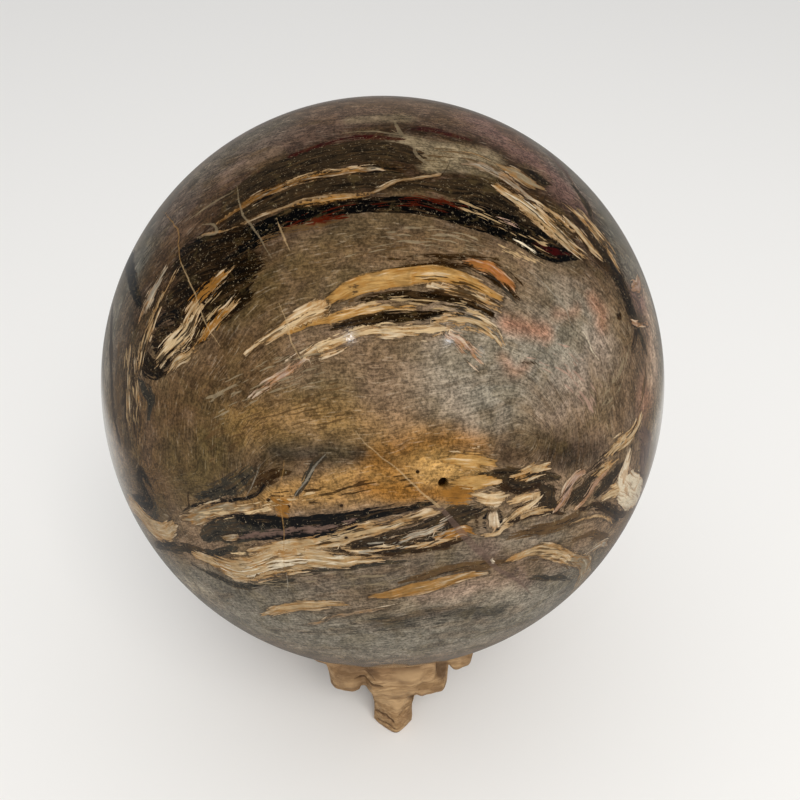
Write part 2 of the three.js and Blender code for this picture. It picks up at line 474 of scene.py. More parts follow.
# Crisp layers, later ones over earlier ones where they meet: colour, how frayed the edge is,
# half-widths and points. First what is dark.
DARKS = [
    ("smoke", 0.3, [2.6, 3.2, 3.2, 2.8, 2.2], [(-29, 33), (-20, 37.5), (-10, 40.6), (0, 41.4), (6, 40)]),
    ("smoke", 0.3, [1.0, 2.6, 2.8, 2.2, 1.0], [(-28, 28), (-18, 33), (-6, 35), (4, 34), (8, 33.5)]),
    ("smoke", 0.3, [0.6, 2.2, 2.6, 2.4, 1.0], [(8, 33.5), (14, 33.2), (19, 33), (24, 30.5), (27, 28)]),
    ("charcoal", 0.35, [0.4, 1.2, 1.3, 1.1, 0.3],
     [(-27, 29.5), (-20, 32.8), (-10, 35), (-2, 35.3), (6, 34)]),
    ("black", 0.5, [0.6, 1.8, 2.3, 2.2, 1.6, 0.3],
     [(12, 30.4), (17, 29.4), (22, 27.4), (27, 25.4), (31, 24.2), (36.5, 23)]),
    ("charcoal", 0.4, [2.4, 3.2, 3.4, 2.4], [(-37, 21.5), (-33, 23), (-28, 24.3), (-23, 24.5)]),
    ("charcoal", 0.5, [2.0, 3.6, 3.6, 2.2], [(-37, 15), (-32, 17.5), (-26, 19), (-21.6, 20)]),
    ("charcoal", 0.5, [2.2, 3.2, 3.4, 2.2], [(-39, 9), (-34, 10), (-28, 13), (-22.5, 16)]),
    ("charcoal", 0.6, [0.8, 2.0, 2.0, 1.0], [(-45, 7), (-42, 5), (-39, 4.5), (-36, 5.6)]),
    ("slate", 0.6, [0.4, 1.4, 1.6, 0.5], [(-44.5, 3.6), (-43, 1.5), (-41.5, -0.5), (-42.5, -3.5)]),
    ("black", 0.15, [1.8, 2.2, 1.8, 1.6, 1.5, 1.6, 1.8, 2.2, 2.0, 1.3, 0.3],
     [(-27, 22), (-21.5, 25), (-16, 27.6), (-10, 29), (-4, 29.6), (4, 29.6), (11, 28.9), (18, 27),
      (24, 24.8), (30, 22.3), (36, 22.6)]),
    ("black", 0.5, [0.4, 1.3, 1.4, 0.6], [(-41, 11.6), (-38, 13), (-35.5, 13), (-33.5, 11)]),
    ("black", 0.5, [0.4, 1.4, 1.6, 1.2, 0.4],
     [(-38, 24), (-33, 25), (-28, 25.6), (-23.6, 26), (-19, 26.4)]),
    ("black", 0.5, [0.3, 1.2, 1.4, 0.5], [(-31, 12.5), (-28.5, 15), (-26.5, 17.5), (-24, 19)]),
    ("wine", 0.5, [0.2, 0.6, 0.7, 0.7, 0.5, 0.2],
     [(-26, 38), (-21, 40), (-14, 43), (-8, 44.8), (-2, 45.1), (4, 44.4)]),
    ("wine", 0.3, [0.2, 0.7, 0.8, 0.6, 0.2], [(4.5, 47.4), (9, 48), (13, 47.7), (17, 46.9), (21, 46)]),
    ("charcoal", 0.4, [0.3, 1.6, 1.7, 0.3], [(30.5, 40), (32.5, 38.6), (34.5, 37.8), (37, 37)]),
    ("umber", 0.4, [0.3, 0.7, 0.8, 0.8, 1.2], [(35, 30), (37, 27.8), (39.5, 25), (42, 22.5), (45, 22)]),
    ("charcoal", 0.6, [0.5, 1.0, 1.7, 2.0, 1.9, 1.2, 0.3],
     [(39, 31), (42, 27.6), (45, 22.6), (47.5, 18.5), (49, 14.5), (51, 11), (52.5, 8)]),
    ("umber", 0.4, [0.9, 0.5, 0.1], [(49.5, 11), (48, 9), (46.6, 7)]),
    ("smoke", 0.3, [0.3, 1.1, 1.1, 0.4], [(46.5, 40), (46.8, 36), (46, 32.5), (44.8, 30)]),
    ("mauve", 0.3, [0.5, 1.5, 1.2, 0.4], [(52, 50), (49.5, 45), (47.5, 41), (46.5, 38)]),
    ("umber", 0.2, [0.4, 0.6, 0.3], [(43.2, 13.6), (43.9, 13.4), (44.4, 13.2)]),
    ("brown", 0.4, [0.3, 0.6, 0.6, 0.3], [(52.4, 6), (51.6, 3), (50.8, 0), (49.4, -2)]),
    ("black", 0.3, [0.9, 1.4, 1.7, 1.6, 1.1],
     [(-46.5, 15.6), (-51, 18.8), (-56, 22.4), (-62, 25.4), (-70, 27)]),
    ("umber", 0.4, [0.4, 1.1, 1.0, 0.8, 0.9, 0.5],
     [(-64, 17), (-60.5, 13.4), (-58, 9), (-56.6, 3), (-56, -3), (-55, -8)]),
    ("brown", 0.5, [0.3, 0.9, 0.8, 0.3], [(-53, 9), (-53, 2), (-53.4, -4), (-53, -8)]),
    ("umber", 0.6, [0.1, 0.5, 0.5, 0.1], [(-50, 9), (-49.8, 2), (-50.4, -5), (-49.8, -8)]),
    ("umber", 0.6, [0.1, 0.6, 0.5, 0.1], [(-47, 9), (-46.6, 3), (-47, -3), (-47.4, -8)]),
    ("charcoal", 0.4, [0.2, 1.0, 1.4, 1.8, 1.6, 0.6],
     [(-45.6, -16), (-47.6, -12.8), (-49.6, -14.8), (-48.6, -17.6), (-51.6, -18.6), (-56, -18)]),
    ("slate", 0.4, [0.3, 0.8, 1.0, 0.4], [(-46, -18), (-48.6, -21), (-52.6, -21.6), (-55, -23)]),
    ("black", 0.1, [0.15, 0.3, 0.35, 0.4, 0.35, 0.2],
     [(-38.4, -19), (-35.4, -17.8), (-31.6, -17), (-26, -16.1), (-21, -15), (-17.4, -12)]),
    ("umber", 0.15, [0.15, 0.25, 0.15], [(-36, -17.8), (-35.4, -16.4), (-34.8, -15.2)]),
    ("umber", 0.4, [0.3, 1.0, 0.9, 0.3], [(-20.8, -13.4), (-18.4, -12.2), (-16.4, -11.2), (-14.6, -10.8)]),
    ("slate", 0.5, [0.4, 1.5, 1.6, 0.8], [(-33, -16), (-28, -14.8), (-24, -13), (-20.6, -11)]),
    ("slate", 0.3, [0.2, 0.5, 0.5, 0.2], [(-13.6, -14.8), (-12, -12), (-10.4, -9.6), (-8.6, -8.4)]),
    ("slate", 0.2, [1.0, 2.5, 2.2, 1.6, 1.3],
     [(-34.4, -23.6), (-31, -22), (-26, -21.4), (-20, -20.8), (-14, -20.6)]),
    ("black", 0.25, [1.4, 1.9, 1.8, 1.4, 1.0, 0.6, 0.2],
     [(-25, -20), (-18, -20.2), (-12, -20.2), (-6, -19), (0, -17.5), (5, -16.4), (8.4, -15.6)]),
    ("slate", 0.4, [0.2, 0.8, 1.0, 0.7], [(-41, -26.6), (-37, -27), (-33, -26.6), (-28, -25)]),
    ("smoke", 0.4, [0.6, 1.3, 1.2, 0.9], [(-58, -28.6), (-50, -27.4), (-42, -26.6), (-36, -27)]),
    ("slate", 0.3, [0.3, 0.8, 0.8, 0.7, 0.3],
     [(-43, -30), (-37, -32.2), (-31, -33.6), (-25, -32.6), (-17, -30.4)]),
    ("slate", 0.3, [0.2, 0.5, 0.4, 0.5, 0.3],
     [(-20, -28.8), (-13, -28.6), (-6, -27.4), (0, -26.4), (5, -26)]),
    ("smoke", 0.4, [0.5, 1.3, 2.2, 2.6, 2.2, 0.6],
     [(-9, -23.8), (-3, -23.4), (4, -22.4), (9, -20), (13, -18), (17, -17)]),
    ("umber", 0.3, [0.2, 0.6, 0.5, 0.6, 0.6, 0.2],
     [(-8.6, -23.9), (-4, -24.7), (1, -24.6), (6, -24.1), (11, -23.2), (15.4, -22)]),
    ("smoke", 0.3, [0.4, 1.2, 1.8, 1.2, 0.4],
     [(15.4, -11.6), (19, -11.6), (23, -12.6), (27, -12), (30, -13)]),
    ("umber", 0.3, [0.2, 0.6, 0.7, 0.6, 0.3],
     [(15, -11.4), (18, -12.8), (22, -14.2), (26, -13.6), (30, -14.6)]),
    ("smoke", 0.3, [0.5, 1.6, 1.9, 0.9], [(26, -13.4), (28, -15), (28.6, -17), (31, -18)]),
    ("umber", 0.2, [0.1, 0.4, 0.4, 0.4, 0.2],
     [(19.6, -20.6), (23, -19.4), (27, -18.5), (31, -18.6), (34, -19)]),
    ("smoke", 0.4, [0.4, 1.3, 1.4, 0.7, 0.3], [(33, -18), (34.6, -16.4), (37, -15), (38, -13), (41, -12)]),
    ("umber", 0.4, [0.2, 0.6, 0.6, 0.2], [(35.6, -12.4), (37.6, -11), (40, -9.6), (42.4, -8.6)]),
    ("smoke", 0.4, [0.5, 1.5, 1.3, 0.3], [(39.8, -16.4), (42, -15), (44.6, -12.8), (47.6, -10.6)]),
    ("umber", 0.3, [0.2, 0.7, 0.8, 1.0, 1.1, 0.5],
     [(36.6, -18.4), (41, -18.2), (45, -18.8), (49, -20.2), (53, -21.4), (57, -22)]),
    ("mauve", 0.4, [0.8, 2.6, 3.0, 1.2], [(51, -6), (55, -7.6), (57, -10.6), (58, -14)]),
    ("brown", 0.3, [0.2, 1.1, 1.2, 0.8], [(22, -22.6), (27, -21.6), (33, -21), (37, -19.6)]),
    ("brown", 0.2, [0.2, 0.9, 1.0, 0.9, 0.2], [(3, -30.8), (9, -29), (14, -27.9), (19, -27.8), (25, -27)]),
    ("brown", 0.3, [0.3, 0.9, 1.0, 0.4], [(38, -24.4), (44, -24), (50, -25.4), (56, -28)]),
    ("slate", 0.3, [0.2, 0.8, 0.7, 0.2], [(31, -31.5), (36, -32.4), (42, -33.4), (47, -35)]),
    ("charcoal", 0.3, [0.2, 0.6, 0.8, 0.8, 0.4],
     [(-4, 13.7), (1, 14.5), (6, 14.7), (11, 14.2), (17, 12.4)]),
    ("charcoal", 0.3, [0.2, 0.8, 0.9, 0.8, 0.3],
     [(-7.6, 10.2), (-2, 11.2), (3, 11.8), (8, 12), (12, 12.2)]),
    ("umber", 0.25, [0.1, 0.3, 0.4, 0.45, 0.4, 0.5, 0.2],
     [(-8, 15.3), (-3, 17.4), (3, 18.9), (9, 19.5), (14, 19.3), (18, 17.4), (21.6, 14.6)]),
    ("umber", 0.3, [0.1, 0.3, 0.35, 0.3, 0.1], [(1, 20.4), (8, 20.8), (14, 20.8), (19, 20.4), (22.6, 17)]),
    ("brown", 0.2, [0.05, 0.2, 0.2, 0.05], [(-4.5, 20.4), (0, 22), (5, 22.6), (10, 22.4)]),
]

# Then what is light.
LIGHTS = [
    ("brown", 0.35, [0.2, 0.7, 0.8, 0.7, 0.5, 0.2],
     [(-31, 28.2), (-25.6, 31.4), (-20, 33.9), (-13, 35.8), (-7, 36.5), (0, 37)]),
    ("tan", 0.4, [0.1, 0.3, 0.4, 0.45, 0.35, 0.15],
     [(-31, 28.6), (-25.6, 31.8), (-20, 34.3), (-13, 36.2), (-7, 36.9), (0, 37.2)]),
    ("khaki", 0.2, [0.15, 0.25, 0.25, 0.22, 0.25, 0.35, 0.3],
     [(-34, 26.1), (-27, 27), (-20, 29), (-11, 31.4), (-2, 32.2), (3, 34.2), (11, 36)]),
    ("ochre", 0.3, [0.1, 0.4, 0.45, 0.25, 0.1],
     [(-16, 29.8), (-11, 30.6), (-7, 31.3), (-3, 31.6), (1, 33.4)]),
    ("pale_grey", 0.3, [0.2, 0.9, 1.1, 0.8, 0.2],
     [(16, 38.6), (20, 38.8), (24, 37.2), (27, 34.9), (29.4, 32.6)]),
    ("khaki", 0.3, [0.5, 1.5, 1.5, 0.4], [(24.6, 39.6), (27.8, 38.2), (30.4, 36.6), (34, 35.8)]),
    ("tan", 0.25, [0.05, 0.25, 0.1], [(16.6, 42), (20, 41.5), (23, 40.6)]),
    ("tan", 0.4, [0.4, 1.1, 1.5, 1.5, 1.1, 0.2],
     [(22, 34.6), (25.4, 32.3), (29, 29.4), (32, 26.8), (35, 24.5), (38.6, 22.6)]),
    ("tan", 0.4, [0.05, 0.35, 0.4, 0.1], [(24.6, 30.4), (27, 28.9), (29.4, 27), (31.6, 25)]),
    ("tan", 0.4, [0.05, 0.35, 0.35, 0.1], [(29.6, 32.6), (32.4, 31), (35, 28.8), (36.6, 27.2)]),
    ("tan", 0.5, [0.2, 0.8, 0.8, 0.3], [(36, 29.8), (38.4, 27.4), (40.6, 25), (42.8, 23.4)]),
    ("tan", 0.5, [0.1, 0.5, 0.7, 0.6, 0.2],
     [(38, 33.4), (41.4, 30.6), (44.2, 27.4), (46.4, 24.4), (48, 21.4)]),
    ("cream", 0.4, [0.1, 0.6, 0.8, 0.2], [(41.6, 33), (45, 29), (47.6, 26.4), (49, 24.6)]),
    ("pink", 0.3, [0.2, 0.4, 0.4, 0.2], [(47.6, 12.6), (50, 12.4), (53, 12.8), (56, 13)]),
    ("pink", 0.3, [0.3, 1.2, 1.2, 0.4], [(51, 18.6), (53.4, 19.4), (55.6, 19.8), (58.6, 21.6)]),
    ("tan", 0.5, [0.2, 0.7, 0.6, 0.3, 0.1],
     [(-33.6, 11), (-31.6, 14), (-29, 16.6), (-26.4, 19), (-24.2, 20.6)]),
    ("cream", 0.6, [0.3, 1.2, 1.4, 1.0, 0.2],
     [(-39.6, 5.4), (-36.6, 7.6), (-33.8, 9.6), (-31.6, 12), (-30, 14.4)]),
    ("tan", 0.6, [0.2, 0.8, 0.9, 0.7, 0.2],
     [(-44.6, 4), (-43.8, 8), (-42.4, 11.4), (-40.8, 14.4), (-39.6, 17)]),
    ("pale_grey", 0.5, [0.2, 0.7, 0.8, 0.2], [(-46, 12.6), (-44.6, 15.2), (-43, 18), (-41, 21)]),
    ("tan", 0.4, [0.05, 0.3, 0.25, 0.05], [(-40.6, 14), (-39.4, 16.6), (-38.4, 19), (-37.6, 20.6)]),
    ("tan", 0.5, [0.1, 0.6, 0.6, 0.1], [(-31.4, 7.6), (-28.6, 9.8), (-25.6, 12.4), (-22.8, 15.2)]),
    ("tan", 0.5, [0.1, 0.5, 0.5, 0.1], [(-36.4, 4), (-34, 5.8), (-31.4, 7.2), (-29, 8.8)]),
    ("khaki", 0.5, [0.1, 0.4, 0.4, 0.1], [(-48.6, 12), (-48.4, 6), (-48.6, 0), (-49, -5)]),
    ("khaki", 0.5, [0.1, 0.35, 0.35, 0.1], [(-45.6, 6), (-45.2, 0), (-45.4, -4), (-46, -8)]),
    ("khaki", 0.35, [0.3, 1.3, 1.4, 0.9, 0.5],
     [(-39, -20.4), (-35.4, -20), (-31, -18.6), (-27, -17.6), (-22, -17)]),
    ("tan", 0.35, [0.8, 2.4, 2.8, 2.2, 0.6],
     [(-66, -21), (-59, -20.4), (-53, -23.4), (-47, -23.6), (-42, -21.6)]),
    ("gold", 0.5, [0.2, 1.0, 1.6, 1.0, 0.2], [(9, -9), (11, -9), (13, -9.2), (15, -9.4), (17.8, -9.8)]),
    ("gold", 0.5, [0.2, 1.0, 1.6, 1.2, 0.1],
     [(10, -12.6), (12, -12.6), (14, -12.8), (16, -12.6), (18.8, -12.4)]),
    ("cream", 0.3, [0.3, 0.7, 1.0, 0.9, 0.1],
     [(14, -14.6), (15.8, -15), (17, -15.4), (18.4, -15.4), (20.4, -15)]),
    ("tan", 0.4, [0.3, 1.0, 1.2, 1.3, 1.2, 0.8, 0.2],
     [(-25, -25.4), (-18, -24), (-11, -22.8), (-5, -21), (1, -19.6), (6, -18), (9.4, -17)]),
    ("tan", 0.5, [0.5, 1.8, 2.3, 2.6, 2.5, 1.8, 1.0, 0.1],
     [(-40, -27.8), (-35, -28.8), (-30, -29.6), (-25, -28.9), (-19, -26.9),
      (-13, -26), (-7, -26.2), (0, -25.6)]),
    ("cream", 0.4, [0.1, 0.3, 0.3, 0.1], [(-7, -23.7), (-3.6, -24), (0, -23.8), (2.6, -23.4)]),
    ("tan", 0.4, [0.1, 0.3, 0.3, 0.1], [(3.6, -23.7), (6.6, -23.2), (9.6, -22.6), (12.4, -21.8)]),
    ("pale_grey", 0.5, [0.1, 0.4, 0.4, 0.1], [(1, -22.4), (4.4, -21.6), (7.6, -20.6), (11, -18.6)]),
    ("amber", 0.4, [0.2, 0.9, 0.9, 0.3], [(9, -21.8), (11.4, -21.2), (13.6, -20.6), (16, -21.6)]),
    ("ivory", 0.2, [0.1, 0.75, 0.7, 0.1], [(18, -17.2), (18.4, -18.6), (18.7, -19.6), (19, -21)]),
    ("cream", 0.2, [0.1, 0.25, 0.3, 0.25, 0.1],
     [(15.4, -21.4), (17.6, -21.8), (19.6, -21.6), (20.6, -20.6), (22.6, -20)]),
    ("tan", 0.6, [0.3, 0.9, 1.0, 0.5], [(20.6, -12.2), (22.6, -11.8), (24.8, -11), (27, -10.6)]),
    ("cream", 0.4, [0.3, 0.8, 0.7, 0.2], [(20.4, -16), (22.4, -15.8), (24.4, -15.4), (26.4, -15)]),
    ("cream", 0.4, [0.3, 0.6, 0.8, 0.3], [(20.8, -19.8), (22.8, -18.2), (24.8, -17), (26.6, -15.6)]),
    ("tan", 0.4, [0.2, 0.5, 0.5, 0.2], [(24, -19), (26, -18.2), (28.4, -17.8), (30.4, -17.8)]),
    ("pink", 0.3, [0.4, 0.9, 1.0, 0.8, 0.3],
     [(30.6, -18.2), (32, -16.4), (32.8, -14.2), (34.2, -12.4), (36, -11.6)]),
    ("tan", 0.3, [0.3, 0.9, 0.8, 0.2], [(37.6, -12.6), (40, -11.8), (42, -11), (45, -10)]),
    ("tan", 0.7, [0.3, 1.2, 1.4, 1.1, 0.4], [(40.6, -9.8), (42.8, -8), (46, -7), (49, -5.4), (51, -2.6)]),
    ("pink", 0.3, [0.2, 0.6, 0.6, 0.2], [(36, -18.4), (38, -16.4), (39.4, -14), (42.4, -11.8)]),
    ("ivory", 0.25, [0.4, 1.7, 3.2, 3.5, 3.2, 1.8],
     [(48.8, -9), (48.2, -12), (48.6, -14.4), (52.4, -15.8), (57.4, -17.4), (63, -19)]),
    ("cream", 0.5, [0.2, 1.3, 1.6, 1.0], [(42.6, -16.8), (45, -16), (47.6, -15.6), (50, -16)]),
    ("cream", 0.1, [0.1, 0.25, 0.25, 0.25, 0.1],
     [(35.4, -21.4), (40, -20.2), (45, -20.5), (49, -21.6), (53, -23.2)]),
    ("ochre", 0.2, [0.1, 1.0, 1.3, 1.3, 0.9, 0.2],
     [(-3, -34), (1, -33.4), (6, -32.2), (11, -31), (15.6, -30.1), (20, -29.4)]),
    ("tan", 0.3, [0.2, 0.9, 1.2, 1.2, 0.9, 0.2],
     [(-30, -41.6), (-25.6, -39.6), (-20.6, -37.8), (-15, -36.7), (-11, -36.2), (-7, -36)]),
    ("tan", 0.25, [0.2, 1.1, 1.4, 1.5, 1.4],
     [(23, -27.2), (28, -25.9), (32.6, -26), (37, -27.4), (41, -29)]),
    ("khaki", 0.3, [1.3, 1.5, 1.7, 1.9, 1.9, 1.4],
     [(40.6, -28.8), (45, -29.9), (49, -31.4), (53, -34.4), (57, -38.4), (60, -43)]),
    ("pale_grey", 0.3, [0.2, 0.8, 0.8, 0.2], [(46, -29), (49, -27.4), (52, -27), (56, -28)]),
    ("pale_grey", 0.2, [0.1, 0.3, 0.35, 0.3, 0.1],
     [(-20, -43), (-14, -41.4), (-11, -39.4), (-4, -38), (4, -35.8)]),
    ("khaki", 0.2, [0.2, 0.5, 0.3], [(-30, -23.4), (-28, -22.9), (-26.4, -22.6)]),
    ("gold", 0.15, [0.5, 1.5, 1.5, 1.4, 1.2, 0.9, 0.3],
     [(-9, 13.8), (-5, 15.5), (-1, 16.7), (3, 17.6), (8, 18.1), (13, 17.4), (18.6, 14.6)]),
    ("cream", 0.2, [0.1, 0.6, 1.0, 1.6, 1.3],
     [(-21, 6.6), (-17, 9.1), (-13.4, 11), (-10.4, 12.5), (-9, 13.3)]),
    ("gold", 0.3, [0.5, 0.7, 0.6, 0.4, 0.1], [(-14.4, 9.6), (-10, 10.9), (-5, 12.1), (0, 12.9), (5, 13.1)]),
    ("tan", 0.4, [0.2, 0.7, 0.6, 0.2], [(7, 16.4), (11, 15.8), (15, 14.7), (18.4, 13)]),
    ("rust", 0.3, [0.2, 0.7, 0.9, 0.8, 0.2],
     [(12.6, 20), (15, 20.1), (17.4, 19.6), (19.2, 18.2), (20.8, 16.2)]),
    ("tan", 0.6, [0.1, 0.6, 0.6, 0.5, 0.5, 0.1],
     [(-11.6, 5.6), (-8, 7.6), (-4, 9.1), (1, 9.8), (6, 9.9), (10, 10.2)]),
    ("tan", 0.8, [0.3, 0.9, 1.0, 0.8, 0.2], [(8, 11), (11, 11.3), (14, 10.8), (16.4, 9.6), (17.6, 8)]),
    ("pink", 0.8, [0.1, 0.6, 0.5, 0.1], [(9.6, 9.4), (11.2, 8.4), (12.4, 7), (14.4, 5.4)]),
    ("pink", 0.6, [0.1, 0.5, 0.4, 0.1], [(-11, 5.8), (-14, 4), (-17, 2.4), (-20, 0.4)]),
]

# Then what is drawn thin over both.
LINES = [
    ("black", 0.15, [0.1, 0.25, 0.2, 0.35, 0.3, 0.15, 0.05],
     [(-30, -19.4), (-24, -18.6), (-18, -18.7), (-10, -18.3), (-4, -17.2), (2, -16.1), (7.6, -15.3)]),
    ("black", 0.2, [0.1, 0.4, 0.5, 0.35, 0.1],
     [(-25, -23), (-18, -22.2), (-12, -21.5), (-8, -20.9), (-4, -20)]),
    ("mauve", 0.4, [0.1, 0.5, 0.5, 0.4, 0.1],
     [(-28, -22.6), (-22, -22.1), (-16, -21), (-10, -20.2), (-4, -18.8)]),
    ("red", 0.4, [0.1, 0.5, 0.5, 0.2], [(-13, 26.3), (-10.6, 27), (-8.6, 27.4), (-6, 27.6)]),
    ("brown", 0.4, [0.2, 0.5, 0.4, 0.1], [(-21, 23.6), (-17, 25.2), (-12.6, 26.1), (-7, 27)]),
    ("wine", 0.5, [0.1, 0.4, 0.35, 0.1], [(26.4, 24), (29, 23.6), (31.6, 23.1), (34, 22.9)]),
    ("red", 0.5, [0.1, 0.35, 0.35, 0.1], [(3.6, 30.9), (7, 31.1), (10.4, 30.9), (14, 29.8)]),
    ("pink", 0.3, [0.1, 0.3, 0.1], [(20.4, 28.2), (22, 27.6), (24, 26.9)]),
    ("ivory", 0.1, [0.05, 0.25, 0.25, 0.1], [(22.2, 24.6), (24, 23.7), (25.8, 22.9), (27.6, 22.1)]),
    ("tan", 0.4, [0.1, 0.4, 0.4, 0.1], [(19.6, 23), (22, 22.1), (24.6, 21.3), (27, 20.9)]),
    ("amber", 0.5, [0.2, 0.7, 0.8, 0.2], [(-32.6, 15.6), (-30.6, 16), (-28.6, 17.4), (-26.4, 19)]),
    ("amber", 0.4, [0.2, 0.6, 0.6, 0.2], [(-29.6, 8.6), (-28, 10), (-26.8, 11.4), (-25.4, 13)]),
    ("brown", 0.2, [0.1, 0.3, 0.3, 0.1], [(-8.6, 14.4), (-8.1, 13.7), (-8.5, 12.7), (-8, 11.6)]),
    ("brown", 0.2, [0.1, 0.2, 0.2, 0.1], [(-5.4, 16), (-4.2, 16.2), (-3.9, 15.4), (-5.1, 13.2)]),
    ("amber", 0.5, [0.4, 1.4, 1.3, 0.4], [(9.6, -14), (11, -14.6), (12.6, -14.4), (14, -13.4)]),
    ("amber", 0.4, [0.3, 0.8, 0.8, 0.3], [(-17.6, -15.6), (-16.6, -17), (-16, -17.6), (-15.4, -15.4)]),
    ("black", 0.15, [0.05, 0.2, 0.15, 0.05], [(17.4, -16.6), (16.9, -18.6), (17.3, -20.4), (18.4, -21.2)]),
    ("black", 0.15, [0.05, 0.2, 0.15, 0.05], [(18.8, -16.8), (19.9, -18.4), (19.9, -20), (19.2, -21.2)]),
    ("umber", 0.15, [0.05, 0.25, 0.1], [(21.4, -17.2), (23.2, -17), (25.6, -16.1)]),
    ("umber", 0.15, [0.05, 0.2, 0.1], [(15, -16.6), (15.6, -18.6), (16, -20.4)]),
    ("ivory", 0.1, [0.1, 0.35, 0.1], [(19.9, -26.6), (20.4, -27), (20.8, -27.5)]),
    ("cream", 0.1, [0.05, 0.2, 0.05], [(-29.4, -26.1), (-27, -25.9), (-24.4, -25.8)]),
    ("umber", 0.1, [0.05, 0.15, 0.05], [(20.6, 5.4), (23, 5.3), (25, 4.6)]),
]

# Families of fine streaks that follow a stroke: colour, how much of the place they take, how far
# to each side they lie, and points. First what is dark, then what is light.
DARK_STREAKS = [
    ("umber", 0.35, 1.0, [(4, 17.5), (10, 17.5), (15, 16), (20, 12.6)]),
    ("umber", 0.45, 1.6, [(6, 16), (11, 15.4), (15, 14.2), (19, 11.6)]),
    ("slate", 0.4, 1.8, [(6, 12.4), (11, 12.2), (15, 11), (18.6, 8.4)]),
    ("slate", 0.35, 1.0, [(14, 18.4), (17.4, 17.6), (20, 15.4), (22, 13)]),
    ("brown", 0.45, 0.8, [(-20, 7.2), (-15, 10.2), (-9, 12.8)]),
    ("charcoal", 0.59, 1.7, [(-42, 4), (-37, 7), (-33, 10), (-30, 14.4), (-26, 19)]),
    ("charcoal", 0.5, 1.6, [(-45, 2), (-43.6, 8), (-41.6, 14), (-40, 19)]),
    ("umber", 0.43, 1.5, [(22, 35), (27, 31.4), (31, 28), (35, 24.8), (39, 22.4)]),
    ("umber", 0.34, 1.4, [(38, 31), (42, 28), (45, 24.6), (47, 21)]),
    ("smoke", 0.27, 3.0, [(-24, 33), (-12, 38), (0, 39.6), (12, 38)]),
    ("black", 0.27, 1.8, [(-28, 30), (-16, 34.6), (-4, 37), (8, 36)]),
    ("brown", 0.28, 3.2, [(4, 41), (12, 40.6), (20, 39.6), (28, 36)]),
    ("umber", 0.25, 2.0, [(-22, -16.4), (-10, -14.6), (0, -12.4), (8, -11.6)]),
    ("brown", 0.37, 2.6, [(-40, -27), (-30, -30), (-20, -27.6), (-10, -26.2)]),
    ("umber", 0.47, 1.2, [(-14, -23.4), (-6, -21.4), (2, -19.4), (9, -17.2)]),
    ("umber", 0.25, 2.0, [(-4, -24.4), (4, -23.4), (10, -20.8), (15, -18)]),
    ("black", 0.4, 0.9, [(-26, -20), (-16, -20.2), (-6, -19.2), (4, -16.8)]),
    ("umber", 0.35, 1.6, [(41, -9.6), (44, -8), (48, -6.4), (51, -3)]),
    ("umber", 0.29, 2.2, [(31, -18), (34, -14.4), (38, -12), (43, -9.6)]),
    ("umber", 0.2, 4.4, [(-50, 8), (-48, 0), (-48.4, -8)]),
    ("brown", 0.2, 4.4, [(-34, -10), (-24, -5), (-12, -2), (-2, 0)]),
    ("brown", 0.33, 2.4, [(26, -26.4), (34, -26.4), (42, -29.4), (50, -33)]),
    ("slate", 0.23, 4.0, [(-30, -45), (-10, -43), (10, -40), (30, -40)]),
]
LIGHT_STREAKS = [
    ("tan", 0.33, 1.7, [(-6, 12), (0, 13.4), (6, 13.6), (12, 13), (18, 10.6)]),
    ("cream", 0.54, 1.0, [(-12, 6), (-6, 8.8), (0, 10), (6, 10.2), (11, 10.4)]),
    ("tan", 0.21, 3.0, [(-37, 4), (-32, 8), (-28, 13), (-24, 17)]),
    ("ivory", 0.25, 1.2, [(22, 35), (27, 31.6), (31, 28.4), (35, 25)]),
    ("red", 0.3, 1.2, [(-20, 25), (-8, 29), (4, 30), (14, 28.6)]),
    ("tan", 0.25, 1.8, [(12, 31), (18, 28.6), (24, 25.8), (31, 23)]),
    ("cream", 0.3, 1.6, [(-36, -20), (-28, -18.6), (-18, -16.6), (-8, -14.6)]),
    ("ivory", 0.3, 2.2, [(-38, -28), (-29, -30), (-19, -27), (-9, -26.3), (-1, -25.7)]),
    ("pale_grey", 0.24, 2.0, [(-6, -23.6), (2, -22.8), (8, -20.8), (14, -18)]),
    ("khaki", 0.2, 2.6, [(-30, -31.6), (-16, -30.6), (0, -29.4), (12, -26)]),
    ("tan", 0.2, 3.4, [(-49, 10), (-47.4, 2), (-48, -6)]),
    ("khaki", 0.25, 2.6, [(36, -2), (41, 2), (45, 8), (46, 14)]),
    ("pink", 0.2, 4.0, [(20, 8), (28, 6), (34, 2), (38, -3)]),
    ("khaki", 0.2, 4.4, [(-30, -2), (-22, 1), (-14, 4), (-6, 6)]),
    ("khaki", 0.2, 3.0, [(-10, 21), (0, 23.6), (10, 24), (18, 22)]),
]
